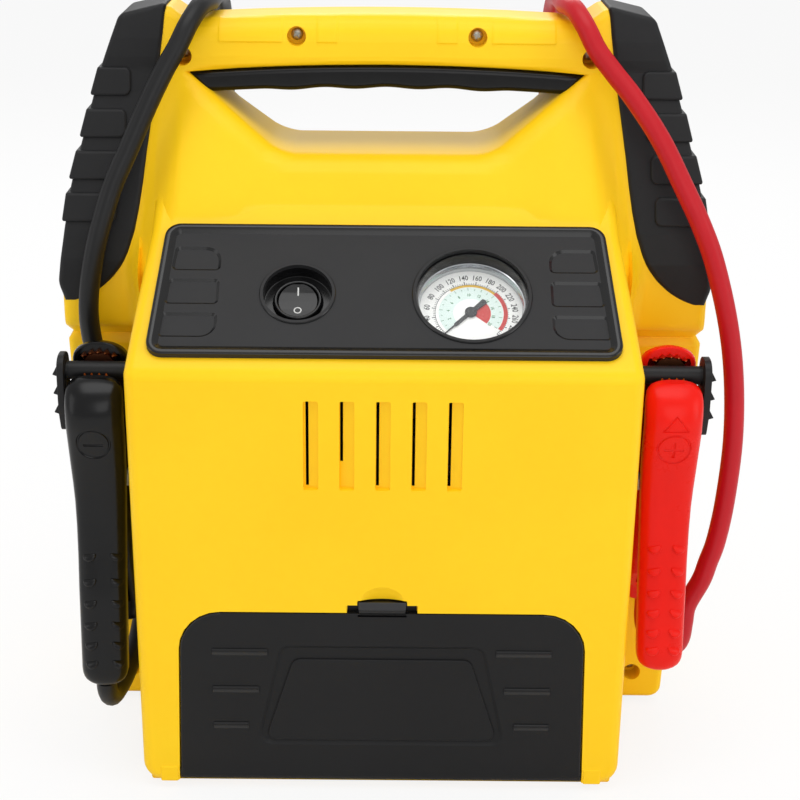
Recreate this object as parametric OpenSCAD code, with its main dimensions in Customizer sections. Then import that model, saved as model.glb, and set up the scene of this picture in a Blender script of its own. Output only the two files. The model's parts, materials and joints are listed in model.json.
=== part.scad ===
// Portable jump starter pack with a built-in tyre compressor.
// +X is to the right and +Y to the rear, seen from the compressor side. The floor is z = 0.

/* [Frame] */
// Width of the lower frame at its top
frame_w = 289; // [286:1:292]
// Width of the lower frame at the floor
foot_w = 278; // [272:1:284]
// Width across the shoulders
shoulder_w = 292; // [289:1:295]
// Height of the lower frame's top edge
frame_h = 185; // [183:1:187]
// Height of the frame's highest point
overall_h = 332; // [330:1:336]
// Depth of the lower frame
frame_d = 90; // [88:1:92]
// Depth across the shoulders
shoulder_d = 104; // [102:1:106]
// Thickness of the moulded walls
wall = 2.6; // [2.2:0.1:3]
// Gap between a moving piece and its surroundings
skin = 0.3; // [0.25:0.05:0.35]
// Height of the feet under the frame
foot_h = 2.6; // [2:0.1:3]

/* [Handle] */
// Height of the hand opening at its middle
hand_h = 37; // [35:1:40]
// Width of the hand opening's flat bottom
hand_low_w = 94; // [84:1:104]
// Width of the hand opening under the handle
hand_top_w = 177; // [172:1:180]
// Height of the handle bar at its middle
bar_h = 21.8; // [21:0.2:24]
// Depth of the handle bar, front to rear
bar_d = 44; // [40:1:48]
// Thickness of the soft grip under the bar
grip_t = 10; // [8:0.5:11]

/* [Bumpers] */
// Thickness of the rubber bumpers
bumper_t = 5.5; // [5:0.1:6]
// How far the bumpers stand proud of the frame
bumper_proud = 1.5; // [1:0.1:2]
// How far the pads stand proud of the bumpers
pad_proud = 1.5; // [1:0.1:2]
// Height of one bumper pad
pad_h = 12; // [10:0.1:13]
// Distance from one pad to the next
pad_pitch = 17.4; // [17:0.1:20]

/* [Compressor housing] */
// Width of the housing at its upper edge
box_w = 216; // [212:1:220]
// How far the housing's face is in front of the frame's middle
box_reach = 124.5; // [122:0.5:127]
// Height of the housing's upper front edge
box_h = 197; // [195:1:199]
// Slope of the control panel from the horizontal
panel_slope = 36; // [35:1:37]
// Width of the control panel at its lower edge
panel_w = 199; // [196:1:202]
// Width of the control panel at its upper edge
panel_top_w = 190; // [186:1:192]
// Length of the control panel up the slope
panel_l = 70; // [68:1:72]
// Distance from the housing's edge to the control panel
panel_from_edge = 8; // [7:0.5:9]
// Thickness of the control panel at its rim
panel_t = 3; // [2.6:0.1:3.4]
// Number of slots in the vent
slots = 5; // [3:1:6]
// Distance from one slot to the next
slot_pitch = 15.1; // [14:0.1:16]
// Width of a slot
slot_w = 5; // [4.5:0.1:5.5]
// Height of a slot
slot_h = 38; // [36:1:40]

/* [Gauge and switch] */
// Distance of the gauge and the switch from the middle
dial_x = 37; // [36:0.5:38]
// Radius of the gauge's opening
gauge_r = 24; // [23:0.1:24.5]
// Depth of the dial below the panel
dial_sink = 13; // [12:0.1:13.4]
// Radius of the switch's recess
recess_r = 14.7; // [14:0.1:15]
// Radius of the switch's bezel
bezel_r = 10.4; // [10.2:0.1:11]
// Radius of the rocker
rocker_r = 8.2; // [7.8:0.1:8.5]

/* [Hose door] */
// Width of the door over the hose bay
door_w = 179; // [176:1:182]
// Height of the door's upper edge
door_top = 87.7; // [86:0.1:89]
// Corner radius of the door
door_r = 18; // [14:1:20]
// Thickness of the door
door_t = 3; // [2.8:0.1:3.2]
// Radius of the barrel along the door's lower edge
barrel_r = 3.4; // [3.2:0.1:3.6]
// Radius of the door's hinge pins
pin_r = 1.5; // [1.3:0.1:1.7]
// Depth of the hose bay
bay_d = 40; // [36:1:42]

/* [Clamps] */
// Distance of the clamps from the middle
clamp_x = 123; // [122.5:0.5:124]
// Width of a clamp at its jaws
clamp_w = 24; // [23:0.5:24.5]
// Radius of the parking post's rod
rod_r = 4; // [3.6:0.1:4.2]
// Height of the parking post's rod
rod_z = 188; // [187:0.5:189]
// Height of the clamps' pivots
pivot_z = 138; // [137:0.5:139]
// Radius of the clamps' pivot pins
pivot_r = 2.5; // [2.3:0.1:2.7]
// Thickness of the grips' walls
grip_wall = 2.2; // [2:0.1:2.4]
// Turns of a clamp's spring
spring_turns = 5; // [4:1:5]
// Wire radius of a clamp's spring
wire_r = 0.8; // [0.7:0.05:0.85]
// Radius of the booster leads
lead_r = 4.5; // [4.2:0.1:4.6]

/* [Inside] */
// Width of the battery
battery_w = 181; // [176:1:182]
// Height of the battery's case
battery_h = 160; // [155:1:162]
// Radius of the compressor's motor
motor_r = 18; // [16:0.5:19]

/* [Rear panel] */
// Width of the rear panel
rear_w = 256; // [252:1:260]
// Height of the rear panel
rear_h = 64; // [62:1:66]
// Thickness of the rear panel
rear_t = 3; // [2.6:0.1:3.4]
// Bore radius of the 12 V sockets
socket_r = 10.5; // [10.3:0.05:10.7]
// Depth of the 12 V sockets
socket_l = 34; // [32:1:35]
// Distance of the sockets from the middle
socket_x = 110; // [109:0.5:111]
// Radius of the rubber feet
foot_r = 9; // [8:0.5:10]

/* [Hidden] */
$fn = 48;

mid_y = 35;                                 // parting plane of the two shells
box_y = mid_y - box_reach;                  // face of the compressor housing
low_y = mid_y + frame_d / 2;                // rear face of the lower frame
shoulder_y = mid_y + shoulder_d / 2;        // rear face of the shoulders
groove_h = 10;                              // height of the groove under the shoulders
groove_in = 2;                              // depth of the groove
shoulder_z = frame_h + groove_h;            // underside of the shoulders
lean_z = shoulder_z + 35;                   // where the upper frame starts to lean back
lean_top_z = overall_h - 29;                // where the lean ends at the handle
bumper_top_w = 235;                         // width across the bumpers at their tops
post_w = 194;                               // width across the posts beside the handle
handle_end_w = 176;                         // width of the handle's arch
handle_rise = 2.8;                          // rise of the handle's arch
handle_top = overall_h - 3.2;               // top of the handle at its middle
bar_z = handle_top - bar_h;                 // underside of the handle at its middle
hand_z = bar_z - hand_h;                    // flat bottom of the hand opening
running = 0.05;                             // radial clearance of a pin in its bore

dial_up = 41;                               // gauge and switch, up the slope
sink = 1.6;                                 // depth of the panel's field below its rim
rim_w = 4.3;                                // width of the panel's rim

hinge_z = foot_h + 1.2 + barrel_r;          // axis of the door's hinge
hinge_y = box_y + barrel_r;
rod_y = -60;                                // axis of the parking posts
pivot_y = -58;
rear_z = frame_h - 15 - rear_h / 2;         // middle of the rear panel
rear_face = low_y + rear_t;                 // outer face of the rear panel
battery_z = foot_h + wall;
board_y = low_y - wall - 4.4;               // front face of the control board
battery_y0 = mid_y - frame_d / 2;           // front face of the battery
battery_d = board_y - 6 - battery_y0;
door_gap = 0.8;                             // room behind the door
back_t = 2;                                 // thickness of the wall behind the door

// Round corner of radius r at b, between the edges to a and c
function corner(a, b, c, r, n = 6) = r <= 0 ? [b] :
    let (u = (a - b) / norm(a - b), v = (c - b) / norm(c - b), half = acos(u * v) / 2,
        o = b + (u + v) / norm(u + v) * r / sin(half), p = b + u * r / tan(half) - o,
        q = b + v * r / tan(half) - o, start = atan2(p[1], p[0]),
        turn = atan2(q[1], q[0]) - start,
        sweep = turn > 180 ? turn - 360 : turn < -180 ? turn + 360 : turn)
    [for (i = [0:n]) o + r * [cos(start + sweep * i / n), sin(start + sweep * i / n)]];
function flat(c) = [c[0], c[1]];
// Outline through corners given as [x, y, radius]
function rounded(c, n = 6) = let (k = len(c)) [for (i = [0:k - 1])
    each corner(flat(c[(i + k - 1) % k]), flat(c[i]), flat(c[(i + 1) % k]), c[i][2], n)];
// Right half of an outline with its mirror image
function both(c) = concat(c, [for (i = [len(c) - 1:-1:0]) if (c[i][0] > 0) [-c[i][0], c[i][1]]]);
function rect(x0, y0, x1, y1, r) = rounded([[x0, y0, r], [x1, y0, r], [x1, y1, r], [x0, y1, r]]);
function bezier(a, b, c, d, n = 8) = [for (i = [0:n]) let (t = i / n, s = 1 - t)
    s * s * s * a + 3 * s * s * t * b + 3 * s * t * t * c + t * t * t * d];
// Smooth route through points, with n steps between each two
function smooth(p, n) = let (k = len(p) - 1) concat([for (i = [0:k - 1], j = [0:n - 1])
    let (a = p[max(i - 1, 0)], b = p[i], c = p[i + 1], d = p[min(i + 2, k)], t = j / n)
    b + t * (c - a) / 2 + t * t * (2 * a - 5 * b + 4 * c - d) / 2
    + t * t * t * (3 * b - a - 3 * c + d) / 2], [p[k]]);
function unit(v) = v / norm(v);
function heading(p, i) = unit(p[min(i + 1, len(p) - 1)] - p[max(i - 1, 0)]);
// Side vectors carried along the route without twist
function sides_along(p, i = 0, out = []) = i == len(p) ? out :
    let (h = heading(p, i), last = i == 0 ? [1, 0, 0] : out[i - 1], s = unit(last - (last * h) * h))
    sides_along(p, i + 1, concat(out, [s]));

module along_y(y0, y1) {
    translate([0, y1, 0]) rotate([90, 0, 0]) linear_extrude(y1 - y0) children();
}
module along_x(x0, x1) {
    translate([x0, 0, 0]) rotate([90, 0, 90]) linear_extrude(x1 - x0) children();
}
module rod_y_at(x, z, y0, y1, r) {
    translate([x, y1, z]) rotate([90, 0, 0]) cylinder(r = r, h = y1 - y0);
}
module rod_x_at(y, z, x0, x1, r) {
    translate([x0, y, z]) rotate([0, 90, 0]) cylinder(r = r, h = x1 - x0);
}
module both_sides() {
    children();
    mirror([1, 0, 0]) children();
}
// Tube of radius r along the points p
module tube(p, r, n) {
    side = sides_along(p);
    rings = [for (i = [0:len(p) - 1]) let (h = heading(p, i), s = side[i], u = cross(h, s))
        for (j = [0:n - 1]) p[i] + r * (cos(360 * j / n) * s + sin(360 * j / n) * u)];
    last = (len(p) - 1) * n;
    walls = [for (i = [0:len(p) - 2], j = [0:n - 1])
        let (a = i * n + j, b = i * n + (j + 1) % n) each [[a, a + n, b + n], [a, b + n, b]]];
    ends = [for (j = [1:n - 2]) each [[0, j, j + 1], [last, last + j + 1, last + j]]];
    polyhedron(rings, concat(walls, ends));
}
// Places its children on the slope: x across, y up the slope, z out of the panel
module on_slope(x = 0, up = 0, out = 0) {
    translate([0, box_y, box_h]) rotate([panel_slope, 0, 0]) translate([x, up, out]) children();
}

// Frame seen from the front; the handle's top is an arch
frame_side = [[foot_w / 2 - 2, foot_h, 6], [frame_w / 2, frame_h, 0],
    [frame_w / 2 - groove_in, frame_h + 3.5, 0], [frame_w / 2, shoulder_z - 1, 0],
    [shoulder_w / 2 - bumper_proud, shoulder_z + 17, 12], [138.5, lean_top_z - 47, 60],
    [126.5, lean_top_z, 60],
    [bumper_top_w / 2, overall_h - 5, 4], [post_w / 2, overall_h, 2]];
handle_arch = [for (i = [8:-1:-8]) let (x = i * handle_end_w / 16)
    [x, handle_top - handle_rise * pow(i / 8, 2)]];
frame_outline = let (side = rounded(concat([[0, foot_h, 0]], frame_side, [[0, overall_h, 0]])),
    half = [for (p = side) if (p[0] > handle_end_w / 2) p])
    concat(half, handle_arch, [for (i = [len(half) - 1:-1:0]) [-half[i][0], half[i][1]]]);
half_d = [[frame_d / 2, 0], [frame_d / 2, frame_h], [frame_d / 2 - groove_in, frame_h + 3.5],
    [shoulder_d / 2, shoulder_z], [shoulder_d / 2, lean_z], [bar_d / 2, lean_top_z],
    [bar_d / 2, overall_h - 8], [bar_d / 2 - 8, overall_h + 8]];
frame_profile = concat([for (p = half_d) [mid_y + p[0], p[1]]],
    [for (i = [len(half_d) - 1:-1:0]) [mid_y - half_d[i][0], half_d[i][1]]]);

// Hand opening, with the soft grip's space in its top
hand_half = rounded([[0, hand_z, 0], [hand_low_w / 2, hand_z, 22],
    [hand_top_w / 2, bar_z - 3.6, 0], [0, bar_z, 0]]);
function arch_z(x, top, drop) = top - drop * pow(2 * x / hand_top_w, 2);
hand_outline = let (low = [for (p = hand_half) if (p[0] > 0 && p[1] < bar_z - 3.7) p])
    concat(low, [for (i = [8:-1:-8]) let (x = i * hand_top_w / 16) [x, arch_z(x, bar_z, 3.6)]],
    [for (i = [len(low) - 1:-1:0]) [-low[i][0], low[i][1]]]);

// Frame's outer form, drawn in all round by inset
module frame_solid(inset = 0) {
    difference() {
        intersection() {
            along_y(mid_y - 60, mid_y + 60) offset(delta = -inset) polygon(frame_outline);
            along_x(-170, 170) offset(delta = -inset) polygon(frame_profile);
        }
        along_y(mid_y - 61, mid_y + 61) offset(delta = inset) polygon(hand_outline);
    }
}
// Compressor housing's outer form, drawn in all round by inset
box_end_y = mid_y - frame_d / 2 + 8;
box_side = [[box_y, foot_h, 8], [box_end_y, foot_h, 0],
    [box_end_y, box_h + (box_end_y - box_y) * tan(panel_slope), 0], [box_y, box_h, 5]];
box_front = both(rounded([[0, foot_h, 0], [box_w / 2 - 1.6, foot_h, 9], [box_w / 2, box_h, 0],
    [box_w / 2 - 6, box_h + 43, 0], [box_w / 2 - 6, box_h + 80, 0], [0, box_h + 80, 0]]));
module box_solid(inset = 0) {
    intersection() {
        along_x(-box_w, box_w) offset(delta = -inset) polygon(rounded(box_side));
        along_y(box_y, box_end_y) offset(delta = -inset) polygon(box_front);
        translate([0, 0, -1]) linear_extrude(overall_h) offset(delta = -inset)
            polygon(rounded([[-box_w / 2, box_y, 7], [box_w / 2, box_y, 7],
                [box_w / 2, mid_y, 0], [-box_w / 2, mid_y, 0]]));
    }
}

// Right bumper's area, seen from the front
bumper_low = shoulder_z + 8;
pad_top = overall_h - 26.2;                 // upper edge of the top pad
pad_count = floor((pad_top - 3 * pad_h - bumper_low) / pad_pitch) + 1;
bumper_area = concat([[160, overall_h + 4], [post_w / 2 + 0.5, overall_h + 4]],
    bezier([post_w / 2 + 10, overall_h - 64], [112, bumper_low + 33],
        [118, bumper_low + 8], [138, bumper_low]),
    [[160, bumper_low + 2]]);
module bumper_form(proud) {
    intersection() {
        frame_solid(-proud);
        along_y(mid_y - 60, mid_y + 60) polygon(bumper_area);
    }
}
module pad_bands() {
    along_y(mid_y - 60, mid_y + 60) for (k = [0:pad_count - 1]) let (top = pad_top - k * pad_pitch)
        polygon(rect(113.5 + 1.9 * k, top - pad_h, 170, top, 3));
}
module right_bumper() {
    color("#2e2e30") difference() {
        union() {
            bumper_form(bumper_proud);
            intersection() {
                frame_solid(-bumper_proud - pad_proud);
                pad_bands();
            }
        }
        frame_solid(bumper_t - bumper_proud);
    }
}
module left_bumper() {
    mirror([1, 0, 0]) right_bumper();
}

// Screws that hold the shells together, as [x, z]
screws = [[40.2, handle_top - 9.4], [91, handle_top - 18.3], [122, foot_h + 14.4]];
screw_head_r = 3.6;
screw_r = 1.7;
function front_at(z) = z > lean_z ? mid_y - bar_d / 2 : mid_y - frame_d / 2;
well = 5;                                   // depth of a screw's well

// Sloping front between the bumpers, from the housing up to the handle
front_top_z = lean_top_z + 2;
front_area = both([[0, box_h], [box_w / 2 - 6, box_h], [box_w / 2 - 5, bumper_low + 33],
    [box_w / 2 + 1, bumper_low + 47], [post_w / 2 + 9, overall_h - 55], [post_w / 2 + 1, front_top_z],
    [0, front_top_z]]);
front_line = [[mid_y - bar_d / 2, front_top_z], [mid_y, front_top_z], [mid_y, box_h],
    [mid_y - frame_d / 2 - 2, box_h], [mid_y - bar_d / 2 - 43.5, bumper_low + 33]];
module front_solid(inset = 0) {
    difference() {
        intersection() {
            along_y(box_y, mid_y) offset(delta = -inset) polygon(front_area);
            along_x(-130, 130) offset(delta = -inset) polygon(front_line);
        }
        along_y(mid_y - 150, mid_y + 1) offset(delta = inset) polygon(hand_outline);
    }
}

// Outer form of both shells, with the bumpers' seats
module shell_solid() {
    difference() {
        frame_solid();
        both_sides() difference() {
            bumper_form(1);
            frame_solid(bumper_t - bumper_proud);
        }
    }
}
// Space inside the frame, clear of the bumpers' seats
module frame_hollow() {
    frame_solid(bumper_t - bumper_proud + wall);
    intersection() {
        frame_solid(wall);
        along_y(mid_y - 60, mid_y + 60) polygon(both(rounded([[0, foot_h, 0], [150, foot_h, 0],
            [150, bumper_low - 14, 0], [112, bumper_low + 6, 0], [104, bumper_low + 47, 0],
            [post_w / 2 - wall, overall_h, 0], [0, overall_h, 0]])));
    }
}
module bosses(y0, y1) {
    intersection() {
        frame_solid();
        both_sides() for (s = screws) rod_y_at(s[0], s[1], y0, y1, 5.2);
    }
}

// Compressor side of the body
module front_shell() {
    color("#ffc72a") difference() {
        union() {
            difference() {
                union() {
                    shell_solid();
                    box_solid();
                    front_solid();
                }
                frame_hollow();
                box_solid(wall);
                front_solid(wall);
            }
            bosses(mid_y - 60, mid_y);
            hinge_bosses();
            door_backing();
            box_feet();
        }
        along_y(mid_y, mid_y + 80) square([400, 800], center = true);
        for (s = screws) both_sides() {
            rod_y_at(s[0], s[1], box_y, mid_y + 1, screw_r + skin);
            rod_y_at(s[0], s[1], box_y, front_at(s[1]) + well, 4.25);
        }
        vent_slots();
        on_slope(dial_x, dial_up, -40) cylinder(r = gauge_r + 2.1, h = 50);
        on_slope(-dial_x, dial_up, -40) cylinder(r = recess_r + 2, h = 50);
        bay_cut();
        both_sides() rod_x_at(hinge_y, hinge_z, door_w / 2 - 1, door_w / 2 + 6, pin_r + running);
        both_sides() rod_x_at(rod_y, rod_z, box_w / 2 - 10, box_w / 2 + 2, rod_r);
    }
}
module vent_slots() {
    for (i = [0:slots - 1]) translate([(i - (slots - 1) / 2) * slot_pitch - slot_w / 2, box_y - 1, 0])
        translate([0, 0, box_h - 12.2 - slot_h]) cube([slot_w, wall + 2, slot_h]);
}
module box_feet() {
    both_sides() along_x(41, box_w / 2 - 4) polygon([[box_y + 7, 0], [box_y + 5, foot_h],
        [box_y + 12, foot_h + 2], [box_y + 50, foot_h + 2], [box_y + 50, 0]]);
}
boss_proud = 0.5;
module hinge_bosses() {
    both_sides() translate([door_w / 2 + 1, box_y - boss_proud, foot_h + 1])
        cube([8, boss_proud + 2 * barrel_r, 2 * barrel_r + 0.8]);
}
// Pocket that the door closes, its back wall, and the pocket for the latch
door_shape = both(rounded([[0, hinge_z, 0], [door_w / 2, hinge_z, 0],
    [door_w / 2 - 1.8, door_top, door_r], [0, door_top, 0]]));
door_clear = 0.5;
latch_w = 20.6;
pocket_w = 30.2;
pocket_top = 92.2;
bay_y0 = box_y + door_t + door_gap + back_t;
module door_backing() {
    along_y(box_y, bay_y0) offset(delta = door_clear + wall) polygon(door_shape);
    translate([-door_w / 2 - 3, box_y + 4, foot_h])
        cube([door_w + 6, 2 * barrel_r + 1, bay_z0 - 1.8 - foot_h]);
    translate([-pocket_w / 2 - 2, box_y, door_top - 4])
        cube([pocket_w + 4, bay_y0 - box_y, pocket_top + 2 - door_top + 4]);
}
module bay_cut() {
    along_y(box_y - 1, box_y + door_t + door_gap) offset(delta = door_clear) polygon(door_shape);
    translate([-door_w / 2 - door_clear, box_y - 1, foot_h + 0.8])
        cube([door_w + 2 * door_clear, 1 + 2 * barrel_r + 0.4, 2 * barrel_r + 0.8]);
    translate([-pocket_w / 2, box_y - 1, door_top - 3])
        cube([pocket_w, 1 + door_t + door_gap, pocket_top - door_top + 3]);
    translate([-bay_w / 2, box_y - 1, bay_z0]) cube([bay_w, wall + 8, bay_z1 - bay_z0]);
}

// Battery side of the body
module rear_shell() {
    color("#ffc72a") difference() {
        union() {
            difference() {
                shell_solid();
                frame_hollow();
            }
            bosses(mid_y, mid_y + 60);
        }
        along_y(mid_y - 80, mid_y) square([400, 800], center = true);
        for (s = screws) both_sides() rod_y_at(s[0], s[1], mid_y - 1, mid_y + 14, screw_r + running);
        both_sides() rod_y_at(socket_x, rear_z, mid_y, low_y + 1, socket_r + 2.1);
        rod_y_at(port_x, low_row, mid_y, low_y + 1, port_r + 1.8);
        rod_y_at(button_x, top_row, mid_y, low_y + 1, button_r + 2);
        translate([-34, low_y - wall - 1, top_row - 8]) cube([68, wall + 2, 16]);
        translate([rocker_x - 11, low_y - wall - 1, top_row - 8]) cube([22, wall + 2, 16]);
        translate([-lamp_w / 2 + 2, shoulder_y - wall - 1, lamp_z0 + 2])
            cube([lamp_w - 4, wall + 2, lamp_h - 4]);
        both_sides() at_gland() translate([0, 0, -gland_l - 30]) cylinder(r = stem_r + 0.2, h = 40);
    }
}

// Soft grip under the handle, with finger bumps
module handle_grip() {
    color("#262626") intersection() {
        along_y(mid_y - bar_d / 2 + 0.5, mid_y + bar_d / 2 - 0.5) polygon(hand_outline);
        along_y(mid_y - bar_d, mid_y + bar_d) polygon(concat([[100, bar_z + 5], [-100, bar_z + 5]],
            [for (i = [-24:24]) let (x = i * 100 / 24) [x, arch_z(x, bar_z - grip_t, 3.2)
                - (abs(x) < 56 ? 0.9 * (1 - cos(x * 360 / 28)) / 2 : 0)]]));
    }
}

// Panel with the gauge's and the switch's openings and six raised pads
panel_shape = both(rounded([[0, panel_from_edge, 0], [panel_w / 2, panel_from_edge, 7],
    [panel_top_w / 2, panel_from_edge + panel_l, 7], [0, panel_from_edge + panel_l, 0]]));
pads = [[65.5, 53.2], [48.1, 35.2], [30.1, 18]];    // upper and lower edge of each pad
module control_panel() {
    color("#3a3a3c") difference() {
        union() {
            difference() {
                on_slope() linear_extrude(panel_t) polygon(panel_shape);
                on_slope(0, 0, panel_t - sink) linear_extrude(sink + 1) offset(delta = -rim_w)
                    polygon(panel_shape);
            }
            on_slope(0, 0, panel_t - sink - 0.5) linear_extrude(1.3) for (k = [-1, 1], p = pads)
                polygon(k > 0 ? rect(70.5, p[1], 92.5, p[0], 2) : rect(-92.5, p[1], -70.5, p[0], 2));
            on_slope(-dial_x, dial_up, panel_t - sink - 0.5) cylinder(r = recess_r + 1.5, h = 1.3);
            on_slope(dial_x, dial_up, panel_t - sink - 0.5) cylinder(r = gauge_r + 1.5, h = 1.3);
        }
        on_slope(dial_x, dial_up, -1) cylinder(r = gauge_r, h = panel_t + 3);
        on_slope(-dial_x, dial_up, -1) cylinder(r = recess_r, h = panel_t + 3);
    }
}

// Pressure gauge, built down from the panel's underside
dial_out = panel_t - sink - dial_sink;      // dial's face, out of the slope
lens_out = dial_out + 2;
module gauge_case() {
    color("#9c9c9c") on_slope(dial_x, dial_up, 0) difference() {
        translate([0, 0, -26]) cylinder(r = gauge_r + 2, h = 26);
        translate([0, 0, dial_out - 1]) cylinder(r = gauge_r - 1, h = 30);
        translate([0, 0, lens_out]) cylinder(r = gauge_r, h = 30);
    }
}
module gauge_dial() {
    color("white") on_slope(dial_x, dial_up, dial_out - 1) difference() {
        cylinder(r = gauge_r - 1 - running, h = 1);
        translate([0, 0, -1]) cylinder(r = needle_pin_r + running, h = 4);
    }
}
needle_at = 225;                            // needle's direction at no pressure
needle_pin_r = 0.9;
module gauge_needle() {
    color("#202020") on_slope(dial_x, dial_up, dial_out + 0.4) {
        cylinder(r = 2.6, h = 1.1);
        rotate(needle_at) linear_extrude(0.6) polygon([[-8.5, -1.3], [-8.5, 1.3],
            [0, 1], [19, 0.35], [19, -0.35], [0, -1]]);
        translate([0, 0, -1.2]) cylinder(r = needle_pin_r, h = 1.4);
    }
}
module gauge_lens() {
    color("#d8e4ea") on_slope(dial_x, dial_up, lens_out) cylinder(r = gauge_r - running, h = 1.2);
}

// Compressor's switch: a round rocker in a bezel
rocker_tilt = 7;
bezel_out = -5.8;                           // rocker's seat, out of the slope
module switch_body() {
    color("#1c1c1e") on_slope(-dial_x, dial_up, 0) difference() {
        union() {
            translate([0, 0, -23.4]) cylinder(r = bezel_r, h = 23.4 + bezel_out);
            difference() {
                translate([0, 0, bezel_out - 2]) cylinder(r = recess_r + 1.8, h = 2 - bezel_out);
                translate([0, 0, bezel_out]) cylinder(r = recess_r, h = 10);
            }
            translate([0, 0, bezel_out]) cylinder(r = bezel_r, h = 3.2);
        }
        translate([0, 0, bezel_out - 6]) cylinder(r = rocker_r + 0.5, h = 12);
        rod_x_at(0, bezel_out - 0.6, 0.5 - bezel_r, bezel_r - 0.5, 1.2 + running);
    }
}
module switch_rocker() {
    color("#101012") on_slope(-dial_x, dial_up, bezel_out - 0.6) rotate([rocker_tilt, 0, 0]) {
        intersection() {
            translate([0, 0, -2.5]) cylinder(r = rocker_r, h = 8);
            along_x(-rocker_r, rocker_r) polygon([[-7.9, -2], [7.9, -2], [7.9, 3.4], [0, 2.5],
                [-7.9, 3.4]]);
        }
        rod_x_at(0, 0, 1 - bezel_r, bezel_r - 1, 1.2);
    }
}

// Liner of the hose bay and the compressor's air outlet in it
bay_w = 150;
bay_z0 = 16;
bay_z1 = 78;
outlet_x = 50;
outlet_z = 47;
bay_back = bay_y0 + bay_d - 2;              // inner face of the bay's back wall
module hose_bay() {
    color("#202022") difference() {
        translate([-bay_w / 2 - 1.6, bay_y0, bay_z0 - 1.6])
            cube([bay_w + 3.2, bay_d, bay_z1 - bay_z0 + 3.2]);
        translate([-bay_w / 2, bay_y0 - 1, bay_z0]) cube([bay_w, bay_d - 1, bay_z1 - bay_z0]);
        rod_y_at(outlet_x, outlet_z, bay_back - 1, bay_back + 3, 4);
    }
}
module air_outlet() {
    color("#c9a24b") {
        rod_y_at(outlet_x, outlet_z, bay_back - 0.5, bay_back + 10, 3.9);
        rod_y_at(outlet_x, outlet_z, bay_back - 6, bay_back, 6);
        rod_y_at(outlet_x, outlet_z, bay_back - 18, bay_back - 6, 3);
        for (i = [0:2]) translate([outlet_x, bay_back - 8 - 3 * i, outlet_z]) rotate([90, 0, 0])
            cylinder(r1 = 3.9, r2 = 3.1, h = 2.4);
    }
}

// Door: plate with a label field, six wedge ribs and a hinge barrel
field = both([[53.5, 24.3], [43.5, 70.6]]);
rib_rows = [[49.9, 60.6, 70.4], [53.9, 42.7, 52], [58.7, 24.5, 34]];   // inner x, bottom, top
module hose_door() {
    color("#2d2d2f") {
        difference() {
            along_y(box_y, box_y + door_t) polygon(door_shape);
            along_y(box_y - 1, box_y + 0.9) polygon([field[0], field[1], field[2], field[3]]);
            translate([-latch_w / 2 - skin, box_y - 1, latch_z0 - 2]) cube([latch_w + 2 * skin, 8, 12]);
            translate([-latch_w / 2 - 1.6, box_y + 0.8, latch_z0 - 2]) cube([latch_w + 3.2, 1.6, 12]);
        }
        along_y(box_y, box_y + 1) polygon(both([[49.2, 25], [37.2, 65.3]]));
        rod_x_at(hinge_y, hinge_z, -door_w / 2, door_w / 2, barrel_r);
        both_sides() rod_x_at(hinge_y, hinge_z, door_w / 2 - 1, door_w / 2 + 5, pin_r);
        both_sides() for (r = rib_rows) along_x(r[0], 74)
            polygon([[box_y, r[1]], [box_y - boss_proud, r[2]], [box_y + 1, r[2]], [box_y + 1, r[1]]]);
    }
}
latch_z0 = door_top - 5.6;
module door_latch() {
    color("#1f1f21") {
        translate([-latch_w / 2, box_y + skin, latch_z0]) cube([latch_w, door_t - 2 * skin, 7.6]);
        translate([-latch_w / 2 - 1.3, box_y + 1.1, latch_z0]) cube([latch_w + 2.6, 1, 5]);
        translate([-latch_w / 2, box_y - boss_proud, door_top + 0.6]) cube([latch_w, 2, 3.5]);
    }
}

// Compressor behind the vents
mount_z = bay_z1 + 1.6;
mount_w = 124;
mount_d = 62;
motor_z = mount_z + 80.4;
motor_y0 = box_y + 27.5;                    // front face of the motor
motor_l = 48;
module compressor_mount() {
    color("#8d9195") difference() {
        union() {
            translate([-mount_w / 2, box_y + wall + 6.9, mount_z]) cube([mount_w, mount_d, 3]);
            for (y = [motor_y0 + 6, motor_y0 + 38]) translate([-14, y, mount_z + 3])
                cube([28, 4, motor_z - mount_z - 3]);
        }
        rod_y_at(0, motor_z, motor_y0 - 8, motor_y0 + motor_l + 14, motor_r + running);
    }
}
module compressor_motor() {
    color("#b9bcc0") {
        rod_y_at(0, motor_z, motor_y0, motor_y0 + motor_l, motor_r);
        rod_y_at(0, motor_z, motor_y0 - 5, motor_y0, 6);
        rod_y_at(0, motor_z, motor_y0 - 12, motor_y0 - 5, 1.5);
    }
}
pump_x = motor_r + 18;
pump_y = motor_y0 + 25;
module compressor_pump() {
    color("#9aa0a6") {
        translate([pump_x - 14, pump_y - 15, mount_z + 3]) cube([28, 30, 34]);
        for (i = [0:5]) translate([pump_x - 17, pump_y - 18, mount_z + 39 + 4 * i]) cube([34, 36, 2]);
        translate([pump_x, pump_y, mount_z + 36]) cylinder(r = 11, h = 26);
        translate([pump_x - 12, pump_y - 13, mount_z + 61]) cube([24, 26, 8]);
    }
}
module cooling_fan() {
    color("#38383a") difference() {
        union() {
            rod_y_at(0, motor_z, motor_y0 - 13, motor_y0 - 6, 5.5);
            for (a = [0:60:300]) translate([0, motor_y0 - 9.5, motor_z]) rotate([0, a, 0])
                translate([0, 0, 11]) rotate([0, 0, 35]) cube([9, 1.4, 14], center = true);
        }
        rod_y_at(0, motor_z, motor_y0 - 20, motor_y0, 1.5 + running);
    }
}

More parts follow.
